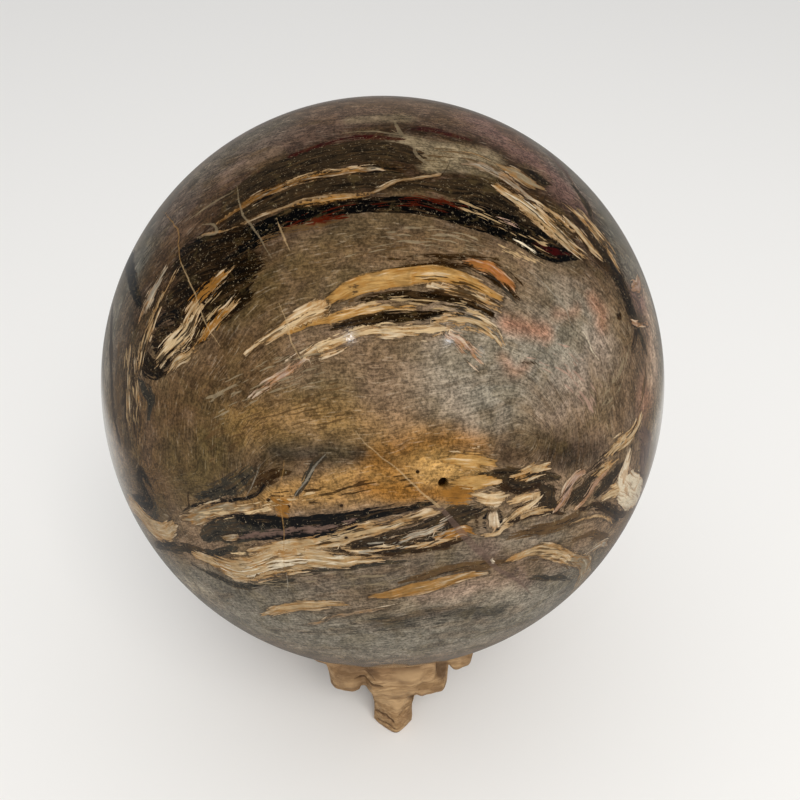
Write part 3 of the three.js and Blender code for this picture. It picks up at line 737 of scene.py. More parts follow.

# Healed cracks, which run across everything, and one painted glint: colour, half-widths and points.
CRACKS_AND_GLINT = [
    ("tan", [0.08, 0.1, 0.12, 0.15, 0.25],
     [(-3.4, -5.4), (-0.6, -8), (3, -11.3), (6.4, -14.2), (9, -16.6)]),
    ("mauve", [0.35, 0.55, 0.6, 0.5, 0.35, 0.2, 0.1],
     [(9, -16.6), (12, -19.6), (15, -22.6), (18.4, -25.8), (22, -28.6), (28, -32), (34, -36)]),
    ("ochre", [0.06, 0.11, 0.13, 0.12, 0.1],
     [(-53, 34), (-45, 30.4), (-41, 28), (-39.4, 25), (-37, 21.6)]),
    ("tan", [0.1, 0.13, 0.14, 0.12, 0.1, 0.06],
     [(-37, 21.6), (-34.4, 19.2), (-32, 16.4), (-30, 13.4), (-28, 10.6), (-26, 8.4)]),
    ("khaki", [0.08, 0.15, 0.18, 0.16, 0.08],
     [(-29.4, 35), (-27, 31.4), (-24.6, 28.2), (-21.4, 25.2), (-18.6, 21.8)]),
    ("tan", [0.06, 0.15, 0.15, 0.06], [(-18, 27.2), (-17.2, 25.6), (-16.4, 24.2), (-15.6, 22.6)]),
    ("tan", [0.06, 0.12, 0.15, 0.12, 0.06],
     [(-15.6, 13.2), (-14.4, 10.8), (-13.9, 8.6), (-12.6, 6.4), (-11.6, 5)]),
    ("khaki", [0.08, 0.25, 0.25, 0.2, 0.1],
     [(-34, 28.2), (-31.8, 28), (-30.6, 27), (-30.6, 26.2), (-34, 26)]),
    ("khaki", [0.1, 0.3, 0.3, 0.1], [(-38.6, 30.4), (-35.6, 31.8), (-33, 33.2), (-31, 34)]),
    ("khaki", [0.2, 0.4, 0.3, 0.3, 0.3, 0.2],
     [(3.2, 50), (3.6, 47.6), (4.2, 46), (6.6, 43.6), (7, 40.6), (10.4, 36.6)]),
    ("khaki", [0.1, 0.25, 0.25, 0.1], [(-8, 46.6), (-2, 46.8), (3, 46), (8, 45)]),
    ("umber", [0.05, 0.12, 0.1], [(13.4, 38.8), (12.6, 37.4), (11.4, 36)]),
    ("pale_grey", [0.05, 0.12, 0.14, 0.12, 0.05],
     [(25, 18.8), (27.4, 16.8), (30, 14), (31, 11.8), (32.4, 10.2)]),
    # painted highlight: a glint of the polish, drawn like the cracks
    ("ivory", [0.05, 0.16, 0.16, 0.05], [(34.2, 9.6), (35, 8.4), (35.4, 7.4), (36.4, 6.4)]),
    ("ochre", [0.04, 0.08, 0.1, 0.08, 0.05],
     [(-15.4, -10), (-16.2, -15), (-16.8, -19.6), (-17.6, -24.4), (-18.2, -29)]),
    ("pale_grey", [0.05, 0.1, 0.05], [(-18.2, -29), (-18.6, -31.4), (-20, -34.6)]),
    ("pale_grey", [0.06, 0.16, 0.2, 0.08], [(-13.6, -14.6), (-12, -12.2), (-10.6, -10), (-9.2, -8.6)]),
    ("pale_grey", [0.05, 0.12, 0.05], [(-22.2, -14.8), (-20.6, -12.6), (-19.4, -10.6)]),
]

WORM_HOLE = (9.4, -12.6, 0.85, 5.0)  # right, up, radius in degrees, depth in millimetres
PITS = [
    (5.3, -10.8, 0.32, 0.5),
    (-6.5, -16.3, 0.35, 0.4),
    (-18.7, -15.7, 0.4, 0.5),
    (-15.3, -16.6, 0.35, 0.4),
    (-6.1, -21.8, 0.35, 0.4),
    (20, -27, 0.35, 0.4),
    (44.4, 13.7, 0.5, 0.5),
]
HOLES = [WORM_HOLE] + PITS
HOLE_FLOOR = 0.62  # the flat floor's share of a hole's radius
HOLE_DARKENED = 0.85  # and its darkened part's
DARKENING_REACH = 3  # radii within which the darkening is painted
DARKENING_FRAY = 0.05
HOLE_RIM = 1.15  # radii within which the surface isn't shaded as a true sphere

PATH_STEP = 0.4  # degrees between the points of a finely divided stroke
FAR = -9.0  # degrees: the field's value where no stroke is near
FAMILY_END = 0.15  # share of a family's length over which its streaks die out

# The layers of the stone's growth are ovals round a point, and level bands near it and under it.
OVAL_RIGHT, OVAL_UP = 3, -9
OVAL_WIDTH = 1.22
BAND_SLOPE = 0.13
BANDS_WITHIN = (28, 15)  # degrees from that point between which the ovals turn into bands
BANDS_BELOW = (11, 21)  # and degrees below the face's middle
BENDS = ((2.0, 1.1, 11), (0.5, 0.3, 12))  # how they bend: degrees, length and seed
WOBBLES = ((0.0022, 0.16, (3, 4, 5)), (0.0012, 0.05, (6, 7, 8)))  # of edges: amount, length, seeds

# The side that the show face turns away goes on with the same kinds of layers, without strokes.
SHOWN, HIDDEN = 0.42, 0.12  # cosines from the face's middle between which they take over
BROAD = dict(spacing=9, drift=1.2)  # degrees for each layer, and how much it changes along itself
THIN = dict(spacing=5, drift=0.9)
GROUND_HUES = ("brown", "grey", "olive", "mauve", "tan")
GROUND_SEED = 21
GROUND_SHARE = 0.75
GROUND_RANGE = (0.1, 1.1)  # of the waves, between which a colour comes in
LAYER_STEEPNESS = 5  # how fast a layer's field rises, so that its edge is crisp
DARK_LEVEL, LIGHT_LEVEL = 0.6, 0.9  # the higher, the fewer the layers
WARMTH = (-0.6, 0.8)  # of the waves, between which the light layers turn from tan to ochre
HIDDEN_FRAY = 0.45


def fine_path(points, halves):
    """A stroke's middle line as closely spaced unit vectors, with the half-width at each."""
    points = np.array(points, float)
    before = 2 * points[0] - points[1]
    after = 2 * points[-1] - points[-2]
    knots = np.vstack([before, points, after])
    line = []
    for index in range(len(points) - 1):
        a, b, c, d = knots[index:index + 4]
        count = max(2, math.ceil(np.linalg.norm(c - b) / PATH_STEP))
        t = np.arange(count)[:, None] / count
        line.append(0.5 * (2 * b + (c - a) * t + (2 * a - 5 * b + 4 * c - d) * t**2
                           + (3 * b - a - 3 * c + d) * t**3))
    line = np.vstack(line + [points[-1:]])
    share = np.linspace(0, 1, len(line))
    widths = np.interp(share, np.linspace(0, 1, len(halves)), halves)
    return face_direction(line[:, 0], line[:, 1]), widths


def stroke(directions, halves, points):
    """For the places near a stroke: their indices, how far each is inside its edge, its signed
    distance from the middle line, the stroke's half-width beside it, all in degrees, and its
    share of the way along."""
    path, widths = fine_path(points, halves)
    tangents = unit(np.gradient(path, axis=0))
    middle = path.mean(0)
    middle /= np.linalg.norm(middle)
    reach = np.arccos((path @ middle).min()) + math.radians(widths.max() - FAR)
    near = np.nonzero(directions @ middle > math.cos(min(reach, math.pi)))[0]
    places = directions[near]
    index = (places @ path.T).argmax(1)
    along = np.degrees((places * tangents[index]).sum(1))
    across = np.degrees((places * np.cross(path[index], tangents[index])).sum(1))
    past_end = ((index == 0) & (along < 0)) | ((index == len(path) - 1) & (along > 0))
    distance = np.hypot(across, np.where(past_end, along, 0))
    return near, widths[index] - distance, across, widths[index], index / (len(path) - 1)


class Layer:
    """One crisp layer of the pattern: a field that is positive inside it, its colour with how
    frayed its edge is, and how far each place is to the side of its stroke's middle."""

    def __init__(self, directions, entries):
        self.field = np.full(len(directions), FAR)
        self.side = np.zeros(len(directions))
        self.colour = np.tile(np.append(pigment("brown"), 0.3), (len(directions), 1))
        for name, fray, halves, points in entries:
            near, field, side, *_ = stroke(directions, halves, points)
            self.paint(field, near, pigment(name), fray, side)

    def paint(self, field, places, hue, fray, side):
        better = field > self.field[places]
        chosen = places[better]
        self.field[chosen] = field[better]
        self.side[chosen] = side[better]
        self.colour[chosen, :3] = hue[better] if np.ndim(hue) == 2 else hue
        self.colour[chosen, 3] = fray


def families(directions, entries):
    """For each place, its family of streaks: colour and density together, the signed distance
    from the family's middle line in degrees, and how much in the family it is, 0 to 1."""
    hues = np.tile(np.append(pigment("brown"), 0.0), (len(directions), 1))
    across = np.zeros(len(directions))
    share = np.zeros(len(directions))
    for name, density, spread, points in entries:
        near, field, side, _, along = stroke(directions, [spread], points)
        from_end = 0.5 - np.abs(along - 0.5)
        inside = smoothstep(0, 0.5 * spread, field) * smoothstep(0, FAMILY_END, from_end)
        better = inside > share[near]
        chosen = near[better]
        share[chosen] = inside[better]
        across[chosen] = side[better]
        hues[chosen] = np.append(pigment(name), density)
    return hues, across, share


def layers_across(directions):
    """Distance across the stone's growth layers, in degrees of the sphere's surface."""
    right = np.degrees(np.arcsin(np.clip(directions @ RIGHT, -1, 1)))
    up = np.degrees(np.arcsin(np.clip(directions @ UP, -1, 1)))
    ovals = np.hypot((right - OVAL_RIGHT) / OVAL_WIDTH, up - OVAL_UP)
    bands = np.abs(BAND_SLOPE * right - up + OVAL_UP)
    level = np.maximum(smoothstep(*BANDS_BELOW, -up), smoothstep(*BANDS_WITHIN, ovals))
    return lerp(ovals, bands, level)


def layered(directions, bent, spacing, drift):
    """Places stretched so that smooth random numbers lie on them in layers."""
    return np.column_stack([bent / spacing, drift * directions])


def ground_colours(directions, placed, bent, hidden):
    """The ground's one colour, mixed with others in layers on the hidden side, and its tints, some
    of them painted reflection along the outline.
    """
    ground = np.tile(pigment("matrix"), (len(directions), 1))
    broad = layered(directions, bent, **BROAD)
    for seed, name in enumerate(GROUND_HUES, GROUND_SEED):
        patches = smoothstep(*GROUND_RANGE, waves(broad, length=1.5, seed=seed))
        share = (GROUND_SHARE * hidden * patches)[:, None]
        ground += (pigment(name) - ground) * share
    for name, softness, strength, half, points in TINTS:
        near, field, *_ = stroke(placed, np.atleast_1d(half), points)
        share = (strength * smoothstep(-softness, softness, field))[:, None]
        ground[near] += (pigment(name) - ground[near]) * share
    return ground


def add_hidden_layers(dark, light, directions, bent, hidden):
    """Fills the dark and the light layer on the side that the show face turns away."""
    every = np.arange(len(directions))
    broad = layered(directions, bent, **BROAD)
    thin = layered(directions, bent, **THIN)
    outside = FAR * (1 - hidden)
    shade = LAYER_STEEPNESS * (waves(broad, length=1.3, seed=31) - DARK_LEVEL)
    shade += 1.2 * waves(thin, length=1.0, seed=32)
    dark.paint(shade + outside, every, pigment("umber"), HIDDEN_FRAY, bent)
    glow = LAYER_STEEPNESS * (waves(thin, length=1.2, seed=35) - LIGHT_LEVEL)
    glow += waves(broad, length=0.7, seed=36)
    warm = smoothstep(*WARMTH, waves(directions, length=0.8, seed=34))[:, None]
    hues = lerp(pigment("tan"), pigment("ochre"), warm)
    light.paint(glow + outside, every, hues, HIDDEN_FRAY, bent)


def nearest_cracks_and_glint(placed):
    """For each place, the nearest of the cracks and the painted glint: the offset from it, the distance
    to it, and its colour with its half-width. The offset keeps its sign, so that the line stays
    thin between the mesh's points."""
    offset = np.full(len(placed), -FAR)
    reach = np.full(len(placed), -FAR)
    crack_and_glint = np.zeros((len(placed), 4))
    for name, halves, points in CRACKS_AND_GLINT:
        near, field, side, width, _ = stroke(placed, halves, points)
        distance = width - field
        closer = distance < reach[near]
        chosen = near[closer]
        reach[chosen] = distance[closer]
        offset[chosen] = side[closer]
        crack_and_glint[chosen, :3] = pigment(name)
        crack_and_glint[chosen, 3] = width[closer]
    return offset, reach, crack_and_glint


def cut_holes(directions, lines):
    """How deep the pits and the worm hole go at each place, in millimetres. Their insides are painted
    darker.
    """
    depth = np.zeros(len(directions))
    for right, up, radius, deep in HOLES:
        far = degrees_from(directions, face_direction(right, up))
        depth = np.maximum(depth, deep * (1 - smoothstep(HOLE_FLOOR * radius, radius, far)))
        spot = np.nonzero(far < DARKENING_REACH * radius)[0]
        inside = radius * HOLE_DARKENED - far[spot]
        lines.paint(inside, spot, pigment("umber"), DARKENING_FRAY, far[spot])
    return depth


# ---------------------------------------------------------------------------------------------
# The stone
# ---------------------------------------------------------------------------------------------

STREAKINESS = 9  # how much longer the stone's streaks are than they are wide
STREAK_UNIT = STREAKINESS * math.radians(RADIUS)
STONE_FINENESS = 7
FACE_CROWDING = 1.25  # how much closer the mesh's points are on the show face
FINE_REACH = math.radians(82)
HOLE_REACH = 2.2  # radii round a hole in which the mesh is made finer


def refine(stone, middle, reach):
    """Halves the edges that lie within reach of a direction, and puts the points on the sphere."""
    limit = math.cos(reach)
    middle = Vector(middle)
    edges = [e for e in stone.edges if all(v.co.dot(middle) > limit for v in e.verts)]
    bmesh.ops.subdivide_edges(stone, edges=edges, cuts=1, use_grid_fill=True)
    for vertex in stone.verts:
        vertex.co.normalize()


def crowd(directions):
    """Draws directions towards the middle of the show face, and keeps small shapes as they are."""
    ahead = directions @ TOWARD
    aside = directions - ahead[:, None] * TOWARD
    tangent = np.linalg.norm(aside, axis=1) / np.maximum(1 + ahead, 1e-9)
    aside /= np.maximum(np.linalg.norm(aside, axis=1), 1e-9)[:, None]
    tangent /= FACE_CROWDING
    cosine = (1 - tangent**2) / (1 + tangent**2)
    sine = 2 * tangent / (1 + tangent**2)
    return cosine[:, None] * TOWARD + sine[:, None] * aside


def stone_mesh():
    """The sphere's mesh, with its points as directions from the centre."""
    stone = bmesh.new()
    bmesh.ops.create_icosphere(stone, subdivisions=STONE_FINENESS, radius=1.0)
    refine(stone, TOWARD, FINE_REACH)
    places = np.array([v.co for v in stone.verts])
    for vertex, place in zip(stone.verts, crowd(places)):
        vertex.co = place
    for right, up, radius, _ in [WORM_HOLE] + HOLES:
        refine(stone, face_direction(right, up), math.radians(radius * HOLE_REACH))
    bmesh.ops.triangulate(stone, faces=stone.faces)
    mesh = bpy.data.meshes.new("stone")
    stone.to_mesh(mesh)
    stone.free()
    return mesh


def shade_as_sphere(mesh, directions):
    """Gives the surface a true sphere's normals, except in its holes."""
    mesh.shade_smooth()
    mesh.update()
    normals = np.empty(directions.size)
    mesh.vertices.foreach_get("normal", normals)
    normals = normals.reshape(-1, 3)
    whole = np.ones(len(directions), bool)
    for right, up, radius, _ in HOLES:
        whole &= directions @ face_direction(right, up) < math.cos(math.radians(HOLE_RIM * radius))
    normals[whole] = directions[whole]
    mesh.normals_split_custom_set_from_vertices(normals)


def stone_sphere():
    mesh = stone_mesh()
    count = len(mesh.vertices)
    directions = np.empty(count * 3)
    mesh.vertices.foreach_get("co", directions)
    directions = unit(directions.reshape(-1, 3))
    hidden = smoothstep(SHOWN, HIDDEN, directions @ TOWARD)
    placed = directions.copy()
    for amount, length, seeds in WOBBLES:
        placed += amount * np.column_stack([waves(directions, length, seed) for seed in seeds])
    placed = unit(placed)
    bent = layers_across(placed) + sway(directions, BENDS)

    ground = ground_colours(directions, placed, bent, hidden)
    dark, light, lines = (Layer(placed, entries) for entries in (DARKS, LIGHTS, LINES))
    add_hidden_layers(dark, light, directions, bent, hidden)
    depth = cut_holes(directions, lines)
    surface = directions * (RADIUS - depth * MM)[:, None] + np.array(CENTRE)
    mesh.vertices.foreach_set("co", surface.ravel())

    store(mesh, "ground", np.column_stack([ground, np.ones(count)]))
    for name, layer in (("dark", dark), ("light", light), ("lines", lines)):
        store(mesh, name, layer.colour)
        store(mesh, name + "_field", layer.field)
        store(mesh, name + "_across", layer.side * STREAK_UNIT)
    for name, entries in (("dark_streaks", DARK_STREAKS), ("light_streaks", LIGHT_STREAKS)):
        hues, side, share = families(placed, entries)
        store(mesh, name, hues)
        store(mesh, name + "_across", side * STREAK_UNIT)
        store(mesh, name + "_share", share)
    offset, reach, crack_and_glint = nearest_cracks_and_glint(placed)
    store(mesh, "crack_and_glint", crack_and_glint)
    store(mesh, "crack_offset", offset)
    store(mesh, "crack_reach", reach)
    store(mesh, "grain", bent * STREAK_UNIT)
    shade_as_sphere(mesh, directions)

    sphere = add_object("petrified_wood_sphere", mesh)
    mesh.materials.append(stone_material())
    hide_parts("stone_sphere")
    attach(sphere, "root")


FIBRE, HAIR, FINE_HAIR, BAND = 0.0055, 0.011, 0.009, 0.03  # metres: the widths of what grew
GRIT, PATCH, BLOTCH = 0.0011, 0.007, 0.016  # and of what has no direction
BAND_DRIFT = 0.4  # how much slower the bands change across the grain
RAGGEDNESS, LOOSENESS = 11.0, 2.0  # degrees by which fibres, and grit and bands, tear an edge
STONE_IOR, STONE_SPECULAR = 1.54, 0.35


def stone_material():
    n = Nodes(bpy.data.materials.new("polished_petrified_wood"))
    place = n.output("TexCoord", "Object")
    grain = n.number("grain")
    fibre = n.noise(place, FIBRE, 3, grain)
    band = n.noise(place, BAND, 4, n.math("MULTIPLY", grain, BAND_DRIFT))
    grit = n.noise(place, GRIT, 3, roughness=0.7)
    patch = n.noise(place, PATCH, 5, roughness=0.65, distortion=1.0)
    blotch = n.noise(place, BLOTCH, 4, distortion=0.6)

    def ragged(name, fibres, share):
        """A layer's field, moved a little this way and that so that its edge is torn."""
        offset = n.either_side(fibres, RAGGEDNESS)
        offset = n.either_side(grit, LOOSENESS, offset)
        offset = n.either_side(band, LOOSENESS, offset)
        return n.math("MULTIPLY_ADD", offset, share, n.number(name + "_field"))

    # the ground, with its blotches, streaks and specks, and painted reflection along the outline
    found = n.tint(n.attribute("ground")["Color"], blotch, 0.5, 0.65, 0.08, "pink")
    found = n.tint(found, blotch, 0.5, 0.38, 0.3, "olive")
    found = n.tint(found, band, 0.5, 0.62, 0.35, "brown")
    found = n.tint(found, fibre, 0.58, 0.68, 0.25, "pale_grey")
    dust = n.math("MULTIPLY_ADD", fibre, 0.2, n.math("MULTIPLY", grit, 0.6))
    dust = n.math("MULTIPLY_ADD", patch, 0.2, dust)
    found = n.shade(found, n.ramp(dust, 0.42, 0.58, 0.57, 1.45, smooth=False))

    for name in ("dark", "light"):
        layer = n.attribute(name)
        hair = n.noise(place, HAIR, 3, n.number(name + "_across"), roughness=0.6)
        moved = ragged(name, hair, layer["Alpha"])
        if name == "dark":
            tone = n.tint(layer["Color"], hair, 0.52, 0.64, 0.4, "brown")
            tone = n.tint(tone, hair, 0.49, 0.4, 0.7, "black")
            tone = n.tint(tone, patch, 0.54, 0.66, 0.25, "olive")
            tone = n.tint(tone, grit, 0.61, 0.66, 0.7, "khaki")
        else:
            edge = n.math("ABSOLUTE", n.math("ADD", moved, 0.12))
            found = n.tint(found, edge, 0.5, 0.05, 0.5, "umber")
            tone = n.tint(layer["Color"], moved, 0.9, 0.1, 0.5, "amber")
            tone = n.tint(tone, patch, 0.5, 0.66, 0.6, "amber")
            tone = n.tint(tone, hair, 0.48, 0.36, 0.6, "amber")
            tone = n.tint(tone, hair, 0.52, 0.68, 0.5, "ivory")
        found = n.mix(n.ramp(moved, -0.12, 0.12), found, tone)

    # families of fine streaks: the denser the family, the more of its hairs show
    for name in ("dark_streaks", "light_streaks"):
        family = n.attribute(name)
        hair = n.noise(place, FINE_HAIR, 2, n.number(name + "_across"), roughness=0.5)
        sparse = n.math("MULTIPLY_ADD", n.number(name + "_share"), -0.22, 0.86)
        sparse = n.math("MULTIPLY_ADD", family["Alpha"], -0.25, sparse)
        over = n.math("SUBTRACT", hair, sparse)
        found = n.mix(n.ramp(over, -0.015, 0.02, 0, 0.85), found, family["Color"])

    layer = n.attribute("lines")
    moved = ragged("lines", fibre, layer["Alpha"])
    found = n.mix(n.ramp(moved, -0.1, 0.1), found, layer["Color"])

    # healed cracks, and the painted highlight drawn like them
    crack_and_glint = n.attribute("crack_and_glint")
    beside = n.math("SUBTRACT", crack_and_glint["Alpha"], n.math("ABSOLUTE", n.number("crack_offset")))
    beside = n.either_side(grit, 0.3, beside)
    near = n.ramp(n.number("crack_reach"), 1.2, 0.9)
    cracked = n.math("MULTIPLY", n.ramp(beside, -0.05, 0.08, 0, 0.6), near)
    found = n.mix(cracked, found, crack_and_glint["Color"])

    # the whole stone is lighter in some places than in others
    mottle = n.math("MULTIPLY_ADD", patch, 0.6, n.math("MULTIPLY", fibre, 0.4))
    found = n.shade(found, n.ramp(mottle, 0.4, 0.6, 0.6, 1.04, smooth=False))
    n.put(found, n.shader.inputs["Base Color"])
    n.put(n.ramp(grit, 0.35, 0.75, 0.08, 0.2), n.shader.inputs["Roughness"])
    n.shader.inputs["IOR"].default_value = STONE_IOR
    n.shader.inputs["Specular IOR Level"].default_value = STONE_SPECULAR
    return n.owner


# ---------------------------------------------------------------------------------------------
# The stand. Its shape is the frame's, in millimetres and degrees, with finer carving
# ---------------------------------------------------------------------------------------------

SEAT_GAP = 0.4
SEAT_INNER = 66
SEAT_OUTER = 84
RIM_RADIUS = 87
RIM_HEIGHT = 70.4
WALL_RADIUS = 89
WALL_TOP = 67
RING_BOTTOM = 53
EDGE_ROUNDING = 3

FEET = 3
FOOT_SPACING = 360 / FEET
TOE_ANGLE, TOE_HALF, TOE_FADE, TOE_LOW, TOE_HIGH = -0.6, 7.4, 1.4, 4, 41
TOE_REACH = 99
TOE_TIP = 0.2
TIP_ROUNDING = 1.2  # degrees
TOE_TAPER = 1.45
TOE_BLEND = 7
TOE_FLARE = 0.07  # share by which a toe widens at the ground
FLARE_HEIGHT = (3, 15)
TOE_WAIST = 0.04  # and narrows above that
WAIST_HEIGHT, WAIST_SPREAD = 21, 9
TOE_ROUNDING = 5  # how far the upright edges of a toe are cut back
ROUNDED_BELOW = (22, 33)
PAD_INNER = 73
KNEE_ANGLE, KNEE_HALF, KNEE_FADE, KNEE_HEIGHT, KNEE_SPREAD, KNEE_SWELL = 3, 11, 5, 47, 26, 5.5

# angle, half of the level part, flank, lowest height and swelling of each lobe
LOBES = [
    (-20.0, 5.6, 2.4, 37.5, 3.8),
    (-11.0, 4.0, 5.0, 40.5, 0.5),
    (14.0, 7.2, 2.0, 34.5, 6.5),
    (28.5, 3.2, 4.0, 43.5, 2.6),
    (60.0, 3.0, 6.0, 43.0, 2.5),
    (-60.0, 3.0, 6.0, 43.0, 2.5),
]
LOBE_SQUARENESS = 0.5
LOBE_BELLY = 6
LOBE_SPREAD = 20

# grooves cut with a knife: depth, half-width, and the places they pass, as angle and height
GROOVES = [
    (1.5, 1.5, [(-16, 51.5), (-12.5, 52), (-9.5, 51.5), (-7, 50.5), (-4.5, 49)]),
    (0.7, 1.2, [(-15.5, 57), (-12, 58), (-9, 57), (-7.5, 55)]),
    (1.5, 1.2, [(-9, 11), (-6.5, 13.5), (-3.5, 14.5), (-1.2, 13), (-0.4, 11)]),
    (1.1, 1.1, [(-8, 4), (-5, 6.5), (-2, 7), (0.8, 4.5)]),
    (0.7, 1.4, [(0.6, 16), (2.6, 19), (5, 20.5), (8, 20)]),
]
GROOVE_STEPS = 12  # between two of those places
GROOVE_END = 10  # steps over which a groove runs out

# hollows (negative) and swellings: amount, angle, height, and how far they reach each way
GOUGES = [
    (-3.0, 19.0, 55, 4.6, 15),
    (-1.2, 30, 58, 5, 10),
    (-1.6, 6.8, 31, 3.4, 7),
    (-1.3, -9.5, 60, 5.5, 6),
    (1.3, 0.8, 26.5, 3.8, 6),
    (-1.0, 0.5, 34, 5.5, 4.5),
    (1.4, 5.0, 58, 9.5, 7),
    (0.8, -17, 47, 5, 8),
    (-1.4, 44, 60, 9, 12),
    (-1.4, -40, 60, 9, 12),
    (-1.0, 90, 60, 10, 12),
]
# the wall's unevenness: millimetres, length and seed, and the heights and radii where it begins
HAND_WORK = ((0.45, 17, 51), (0.22, 7, 52))
FREE_ABOVE = (1, 7)
FREE_OUTSIDE = (84, 87)

AROUND = 880
CROWDING = 9.5  # degrees by which the mesh's points shift towards the feet
SEAT_STEPS, RIM_STEPS, EDGE_STEPS, UNDER_STEPS, INNER_STEPS = 8, 5, 5, 6, 8
UPPER_STEPS, LOWER_STEPS = 40, 30  # of the wall
UPPER_LOW = 40  # the upper steps end near this height, or near the lower edge if that is higher
UPPER_SHARE = 0.9
MM_PER_DEGREE = math.radians(WALL_RADIUS)


def toe_share(angle):
    return plateau(angle - TOE_ANGLE, TOE_HALF, TOE_FADE)


def lower_edge(angle):
    """The height of the wall's lower edge: the lowest of the lobes and the toe there."""
    edges = [lerp(RING_BOTTOM, bottom, plateau(angle - middle, half, fade))
             for middle, half, fade, bottom, _ in LOBES]
    return np.minimum.reduce(edges + [lerp(RING_BOTTOM, 0, toe_share(angle))])


def seat_height(radius):
    """The hollow under the sphere, a small gap away from it."""
    sphere = RADIUS / MM
    return CENTRE.z / MM - np.sqrt((sphere + SEAT_GAP) ** 2 - radius**2)


def wall_radius(angle, height):
    knee = (KNEE_SWELL * plateau(angle - KNEE_ANGLE, KNEE_HALF, KNEE_FADE)
            * bell(height - KNEE_HEIGHT, KNEE_SPREAD))
    lobes = [swell * bell(height - bottom - LOBE_BELLY, LOBE_SPREAD)
             * plateau(angle - middle, half * LOBE_SQUARENESS, half * (1 - LOBE_SQUARENESS) + fade)
             for middle, half, fade, bottom, swell in LOBES]
    wall = WALL_RADIUS + np.maximum.reduce([knee] + lobes)
    rounding = TOE_ROUNDING * (1 - toe_share(angle)) ** 2 * (1 - smoothstep(*ROUNDED_BELOW, height))
    toe = TOE_REACH - TOE_TAPER * np.hypot(angle - TOE_TIP, TIP_ROUNDING) - rounding
    share = plateau(angle - TOE_ANGLE, TOE_HALF + TOE_FADE, TOE_BLEND)
    return lerp(wall, toe, share * (1 - smoothstep(TOE_LOW, TOE_HIGH, height)))


def groove_depth(angle, height, half_width, path):
    """0 away from a groove, and 1 along its bottom. It runs out at both ends."""
    path = np.array(path, float)
    step = np.arange(GROOVE_STEPS)[:, None] / GROOVE_STEPS
    spots = np.vstack([lerp(a, b, step) for a, b in zip(path, path[1:])])
    nearest = np.full(angle.shape, np.inf)
    for index, (spot_angle, spot_height) in enumerate(spots):
        end = min(index + 1, len(spots) - index, GROOVE_END) / GROOVE_END
        away = np.hypot((angle - spot_angle) * MM_PER_DEGREE, height - spot_height)
        nearest = np.minimum(nearest, away / (half_width * end))
    return np.clip(1 - nearest, 0, 1)


def stand_shape():
    """The stand's points as radius, azimuth and height, one row for each angle round it, and how
    deep the knife and the hollows go at each."""
    turn = np.arange(AROUND) / (AROUND / FEET)
    foot = np.round(turn)
    share = turn - foot
    angle = (FOOT_SPACING * share - CROWDING * np.sin(2 * np.pi * share))[:, None]
    low = lower_edge(angle)

    def steps(count):
        return np.arange(count)[None, :] / count

    def curve(start, bend, end, count):
        """A bend from start to end, each given as radius and height."""
        t = steps(count)
        return [(1 - t) ** 2 * a + 2 * t * (1 - t) * b + t**2 * c for a, b, c in zip(start, bend, end)]

    seat = lerp(SEAT_INNER, SEAT_OUTER, steps(SEAT_STEPS)) + 0 * angle
    rim = curve((SEAT_OUTER + 0 * angle, seat_height(SEAT_OUTER)), (RIM_RADIUS, RIM_HEIGHT),
                (wall_radius(angle, WALL_TOP), WALL_TOP), RIM_STEPS)
    bottom = low + EDGE_ROUNDING
    parting = lerp(WALL_TOP, np.maximum(bottom, UPPER_LOW), UPPER_SHARE)
    wall_height = np.hstack([lerp(WALL_TOP, parting, steps(UPPER_STEPS)),
                             lerp(parting, bottom, steps(LOWER_STEPS))])
    wall = wall_radius(angle, wall_height)
    cut = np.zeros(wall.shape)
    for depth, half_width, path in GROOVES:
        cut = np.maximum(cut, depth * groove_depth(angle, wall_height, half_width, path))
    relief = sum(amount * bell(angle - middle, reach) * bell(wall_height - height, rise)
                 for amount, middle, height, reach, rise in GOUGES)
    carved = wall + relief - cut
    last = carved[:, -1:]
    edge = curve((last, bottom), (last, low), (last - EDGE_ROUNDING, low), EDGE_STEPS)
    inner = lerp(SEAT_INNER + EDGE_ROUNDING, PAD_INNER, toe_share(angle))
    under = lerp(last - EDGE_ROUNDING, inner, steps(UNDER_STEPS))
    inside = curve((inner, low), (inner - EDGE_ROUNDING, low), (inner - EDGE_ROUNDING, bottom), EDGE_STEPS)
    up = steps(INNER_STEPS)
    back = (lerp(inner - EDGE_ROUNDING, SEAT_INNER, up), lerp(bottom, seat_height(SEAT_INNER), up))
    sections = [(seat, seat_height(seat)), rim, (carved, wall_height), edge, (under, low), inside, back]
    radius = np.hstack([r + 0 * angle + 0 * h for r, h in sections])
    height = np.hstack([h + 0 * angle + 0 * r for r, h in sections])
    knife, hollow = np.zeros((2, *radius.shape))
    before = SEAT_STEPS + RIM_STEPS
    wall_stations = slice(before, before + UPPER_STEPS + LOWER_STEPS)
    knife[:, wall_stations] = cut
    # the depths of the hollows and swellings also drive the wood's painted shade and painted highlight
    hollow[:, wall_stations] = -relief
    flare = 1 + TOE_FLARE * (1 - smoothstep(*FLARE_HEIGHT, height))
    flare -= TOE_WAIST * bell(height - WAIST_HEIGHT, WAIST_SPREAD)
    azimuth = np.radians(FOOT_SPACING * foot[:, None] + angle * flare - 90)
    return radius, azimuth, height, knife, hollow


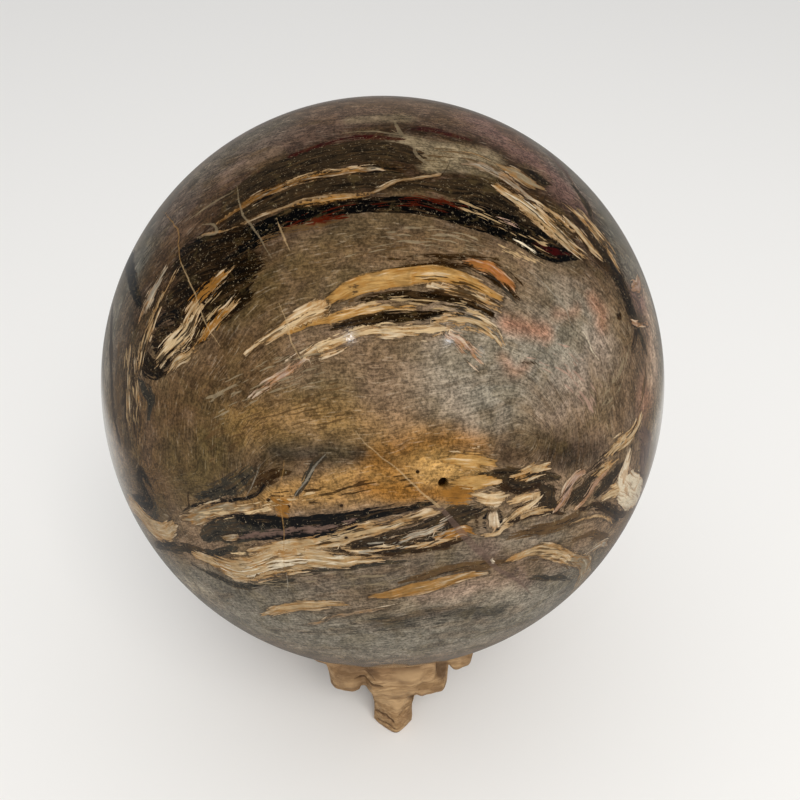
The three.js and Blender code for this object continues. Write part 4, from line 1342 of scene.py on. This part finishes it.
def wooden_stand():
    radius, azimuth, height, knife, hollow = stand_shape()
    points = np.stack([radius * np.cos(azimuth), radius * np.sin(azimuth), height], 2).reshape(-1, 3)

    # hand work: the wall is never quite true, and the ground and the seat stay as they are
    out = np.hypot(points[:, 0], points[:, 1])
    free = smoothstep(*FREE_ABOVE, points[:, 2]) * smoothstep(*FREE_OUTSIDE, out)
    points[:, :2] *= (1 + (free * sway(points, HAND_WORK)) / WALL_RADIUS)[:, None]

    rows, stations = radius.shape
    corner = np.arange(rows)[:, None] * stations + np.arange(stations)[None, :]
    next_row = np.roll(corner, -1, 0)
    next_station = np.roll(corner, -1, 1)
    both = np.roll(next_row, -1, 1)
    faces = np.stack([corner, next_station, both, next_row], 2).reshape(-1, 4)
    mesh = bpy.data.meshes.new("stand")
    mesh.from_pydata((points * MM).tolist(), [], faces.tolist())
    mesh.shade_smooth()
    store(mesh, "knife", knife.ravel())
    store(mesh, "hollow", hollow.ravel())
    mesh.update()
    stand = add_object("carved_wood_stand", mesh)
    mesh.materials.append(wood_material())
    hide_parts("wooden_stand")
    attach(stand, "root")


GRAIN_STRETCH = (0.13, 1, 1)  # the wood's grain runs along X, and is tilted a little
GRAIN_TILT = (0.1, 0.25, 0.5)
WOOD_SWAY, WOOD_RING, WOOD_FIBRE, WOOD_STAIN, WOOD_PORE = 0.02, 0.0045, 0.0009, 0.018, 0.0006
WOOD_BUMP, WOOD_BUMP_HEIGHT = 0.35, 0.0006
WOOD_IOR = 1.48


def wood_material():
    n = Nodes(bpy.data.materials.new("carved_light_wood"))
    place = n.output("TexCoord", "Object")
    stretch = n.tree.nodes.new("ShaderNodeMapping")
    stretch.inputs["Scale"].default_value = GRAIN_STRETCH
    stretch.inputs["Rotation"].default_value = GRAIN_TILT
    n.put(place, stretch.inputs["Vector"])
    along = stretch.outputs[0]
    wander = n.noise(along, WOOD_SWAY, 2)
    ring = n.noise(along, WOOD_RING, 2, distortion=1.2)
    fibre = n.noise(along, WOOD_FIBRE, 4)
    stain = n.noise(place, WOOD_STAIN, 3)
    pore = n.noise(along, WOOD_PORE, 1)

    found = n.mix(n.ramp(ring, 0.35, 0.68), colour("wood"), colour("wood_light_and_highlight"))
    found = n.tint(found, wander, 0.45, 0.75, 0.5, "wood_red")
    found = n.tint(found, fibre, 0.4, 0.75, 0.45, "wood_dark")
    found = n.tint(found, stain, 0.45, 0.65, 0.5, "wood_dark")
    found = n.tint(found, pore, 0.66, 0.72, 0.5, "wood_pore_and_shade")
    # painted shade in the knife grooves
    found = n.tint(found, n.number("knife"), 0.05, 0.9, 0.8, "wood_pore_and_shade")

    # painted shade darkens the hollows, and a painted highlight lightens the swellings
    hollow = n.number("hollow")
    found = n.tint(found, hollow, 0.0, 1.6, 0.7, "wood_pore_and_shade")
    found = n.tint(found, hollow, 0.0, -1.2, 0.7, "wood_light_and_highlight")
    n.put(found, n.shader.inputs["Base Color"])
    n.put(n.ramp(fibre, 0.3, 0.7, 0.42, 0.6), n.shader.inputs["Roughness"])
    height = n.math("ADD", fibre, n.math("MULTIPLY", ring, 0.6))
    n.put(n.bump(height, WOOD_BUMP, WOOD_BUMP_HEIGHT), n.shader.inputs["Normal"])
    n.shader.inputs["IOR"].default_value = WOOD_IOR
    return n.owner


# ---------------------------------------------------------------------------------------------

add_camera()
add_floor()
add_light()
stone_sphere()
wooden_stand()

bpy.context.scene.view_settings.view_transform = "Standard"
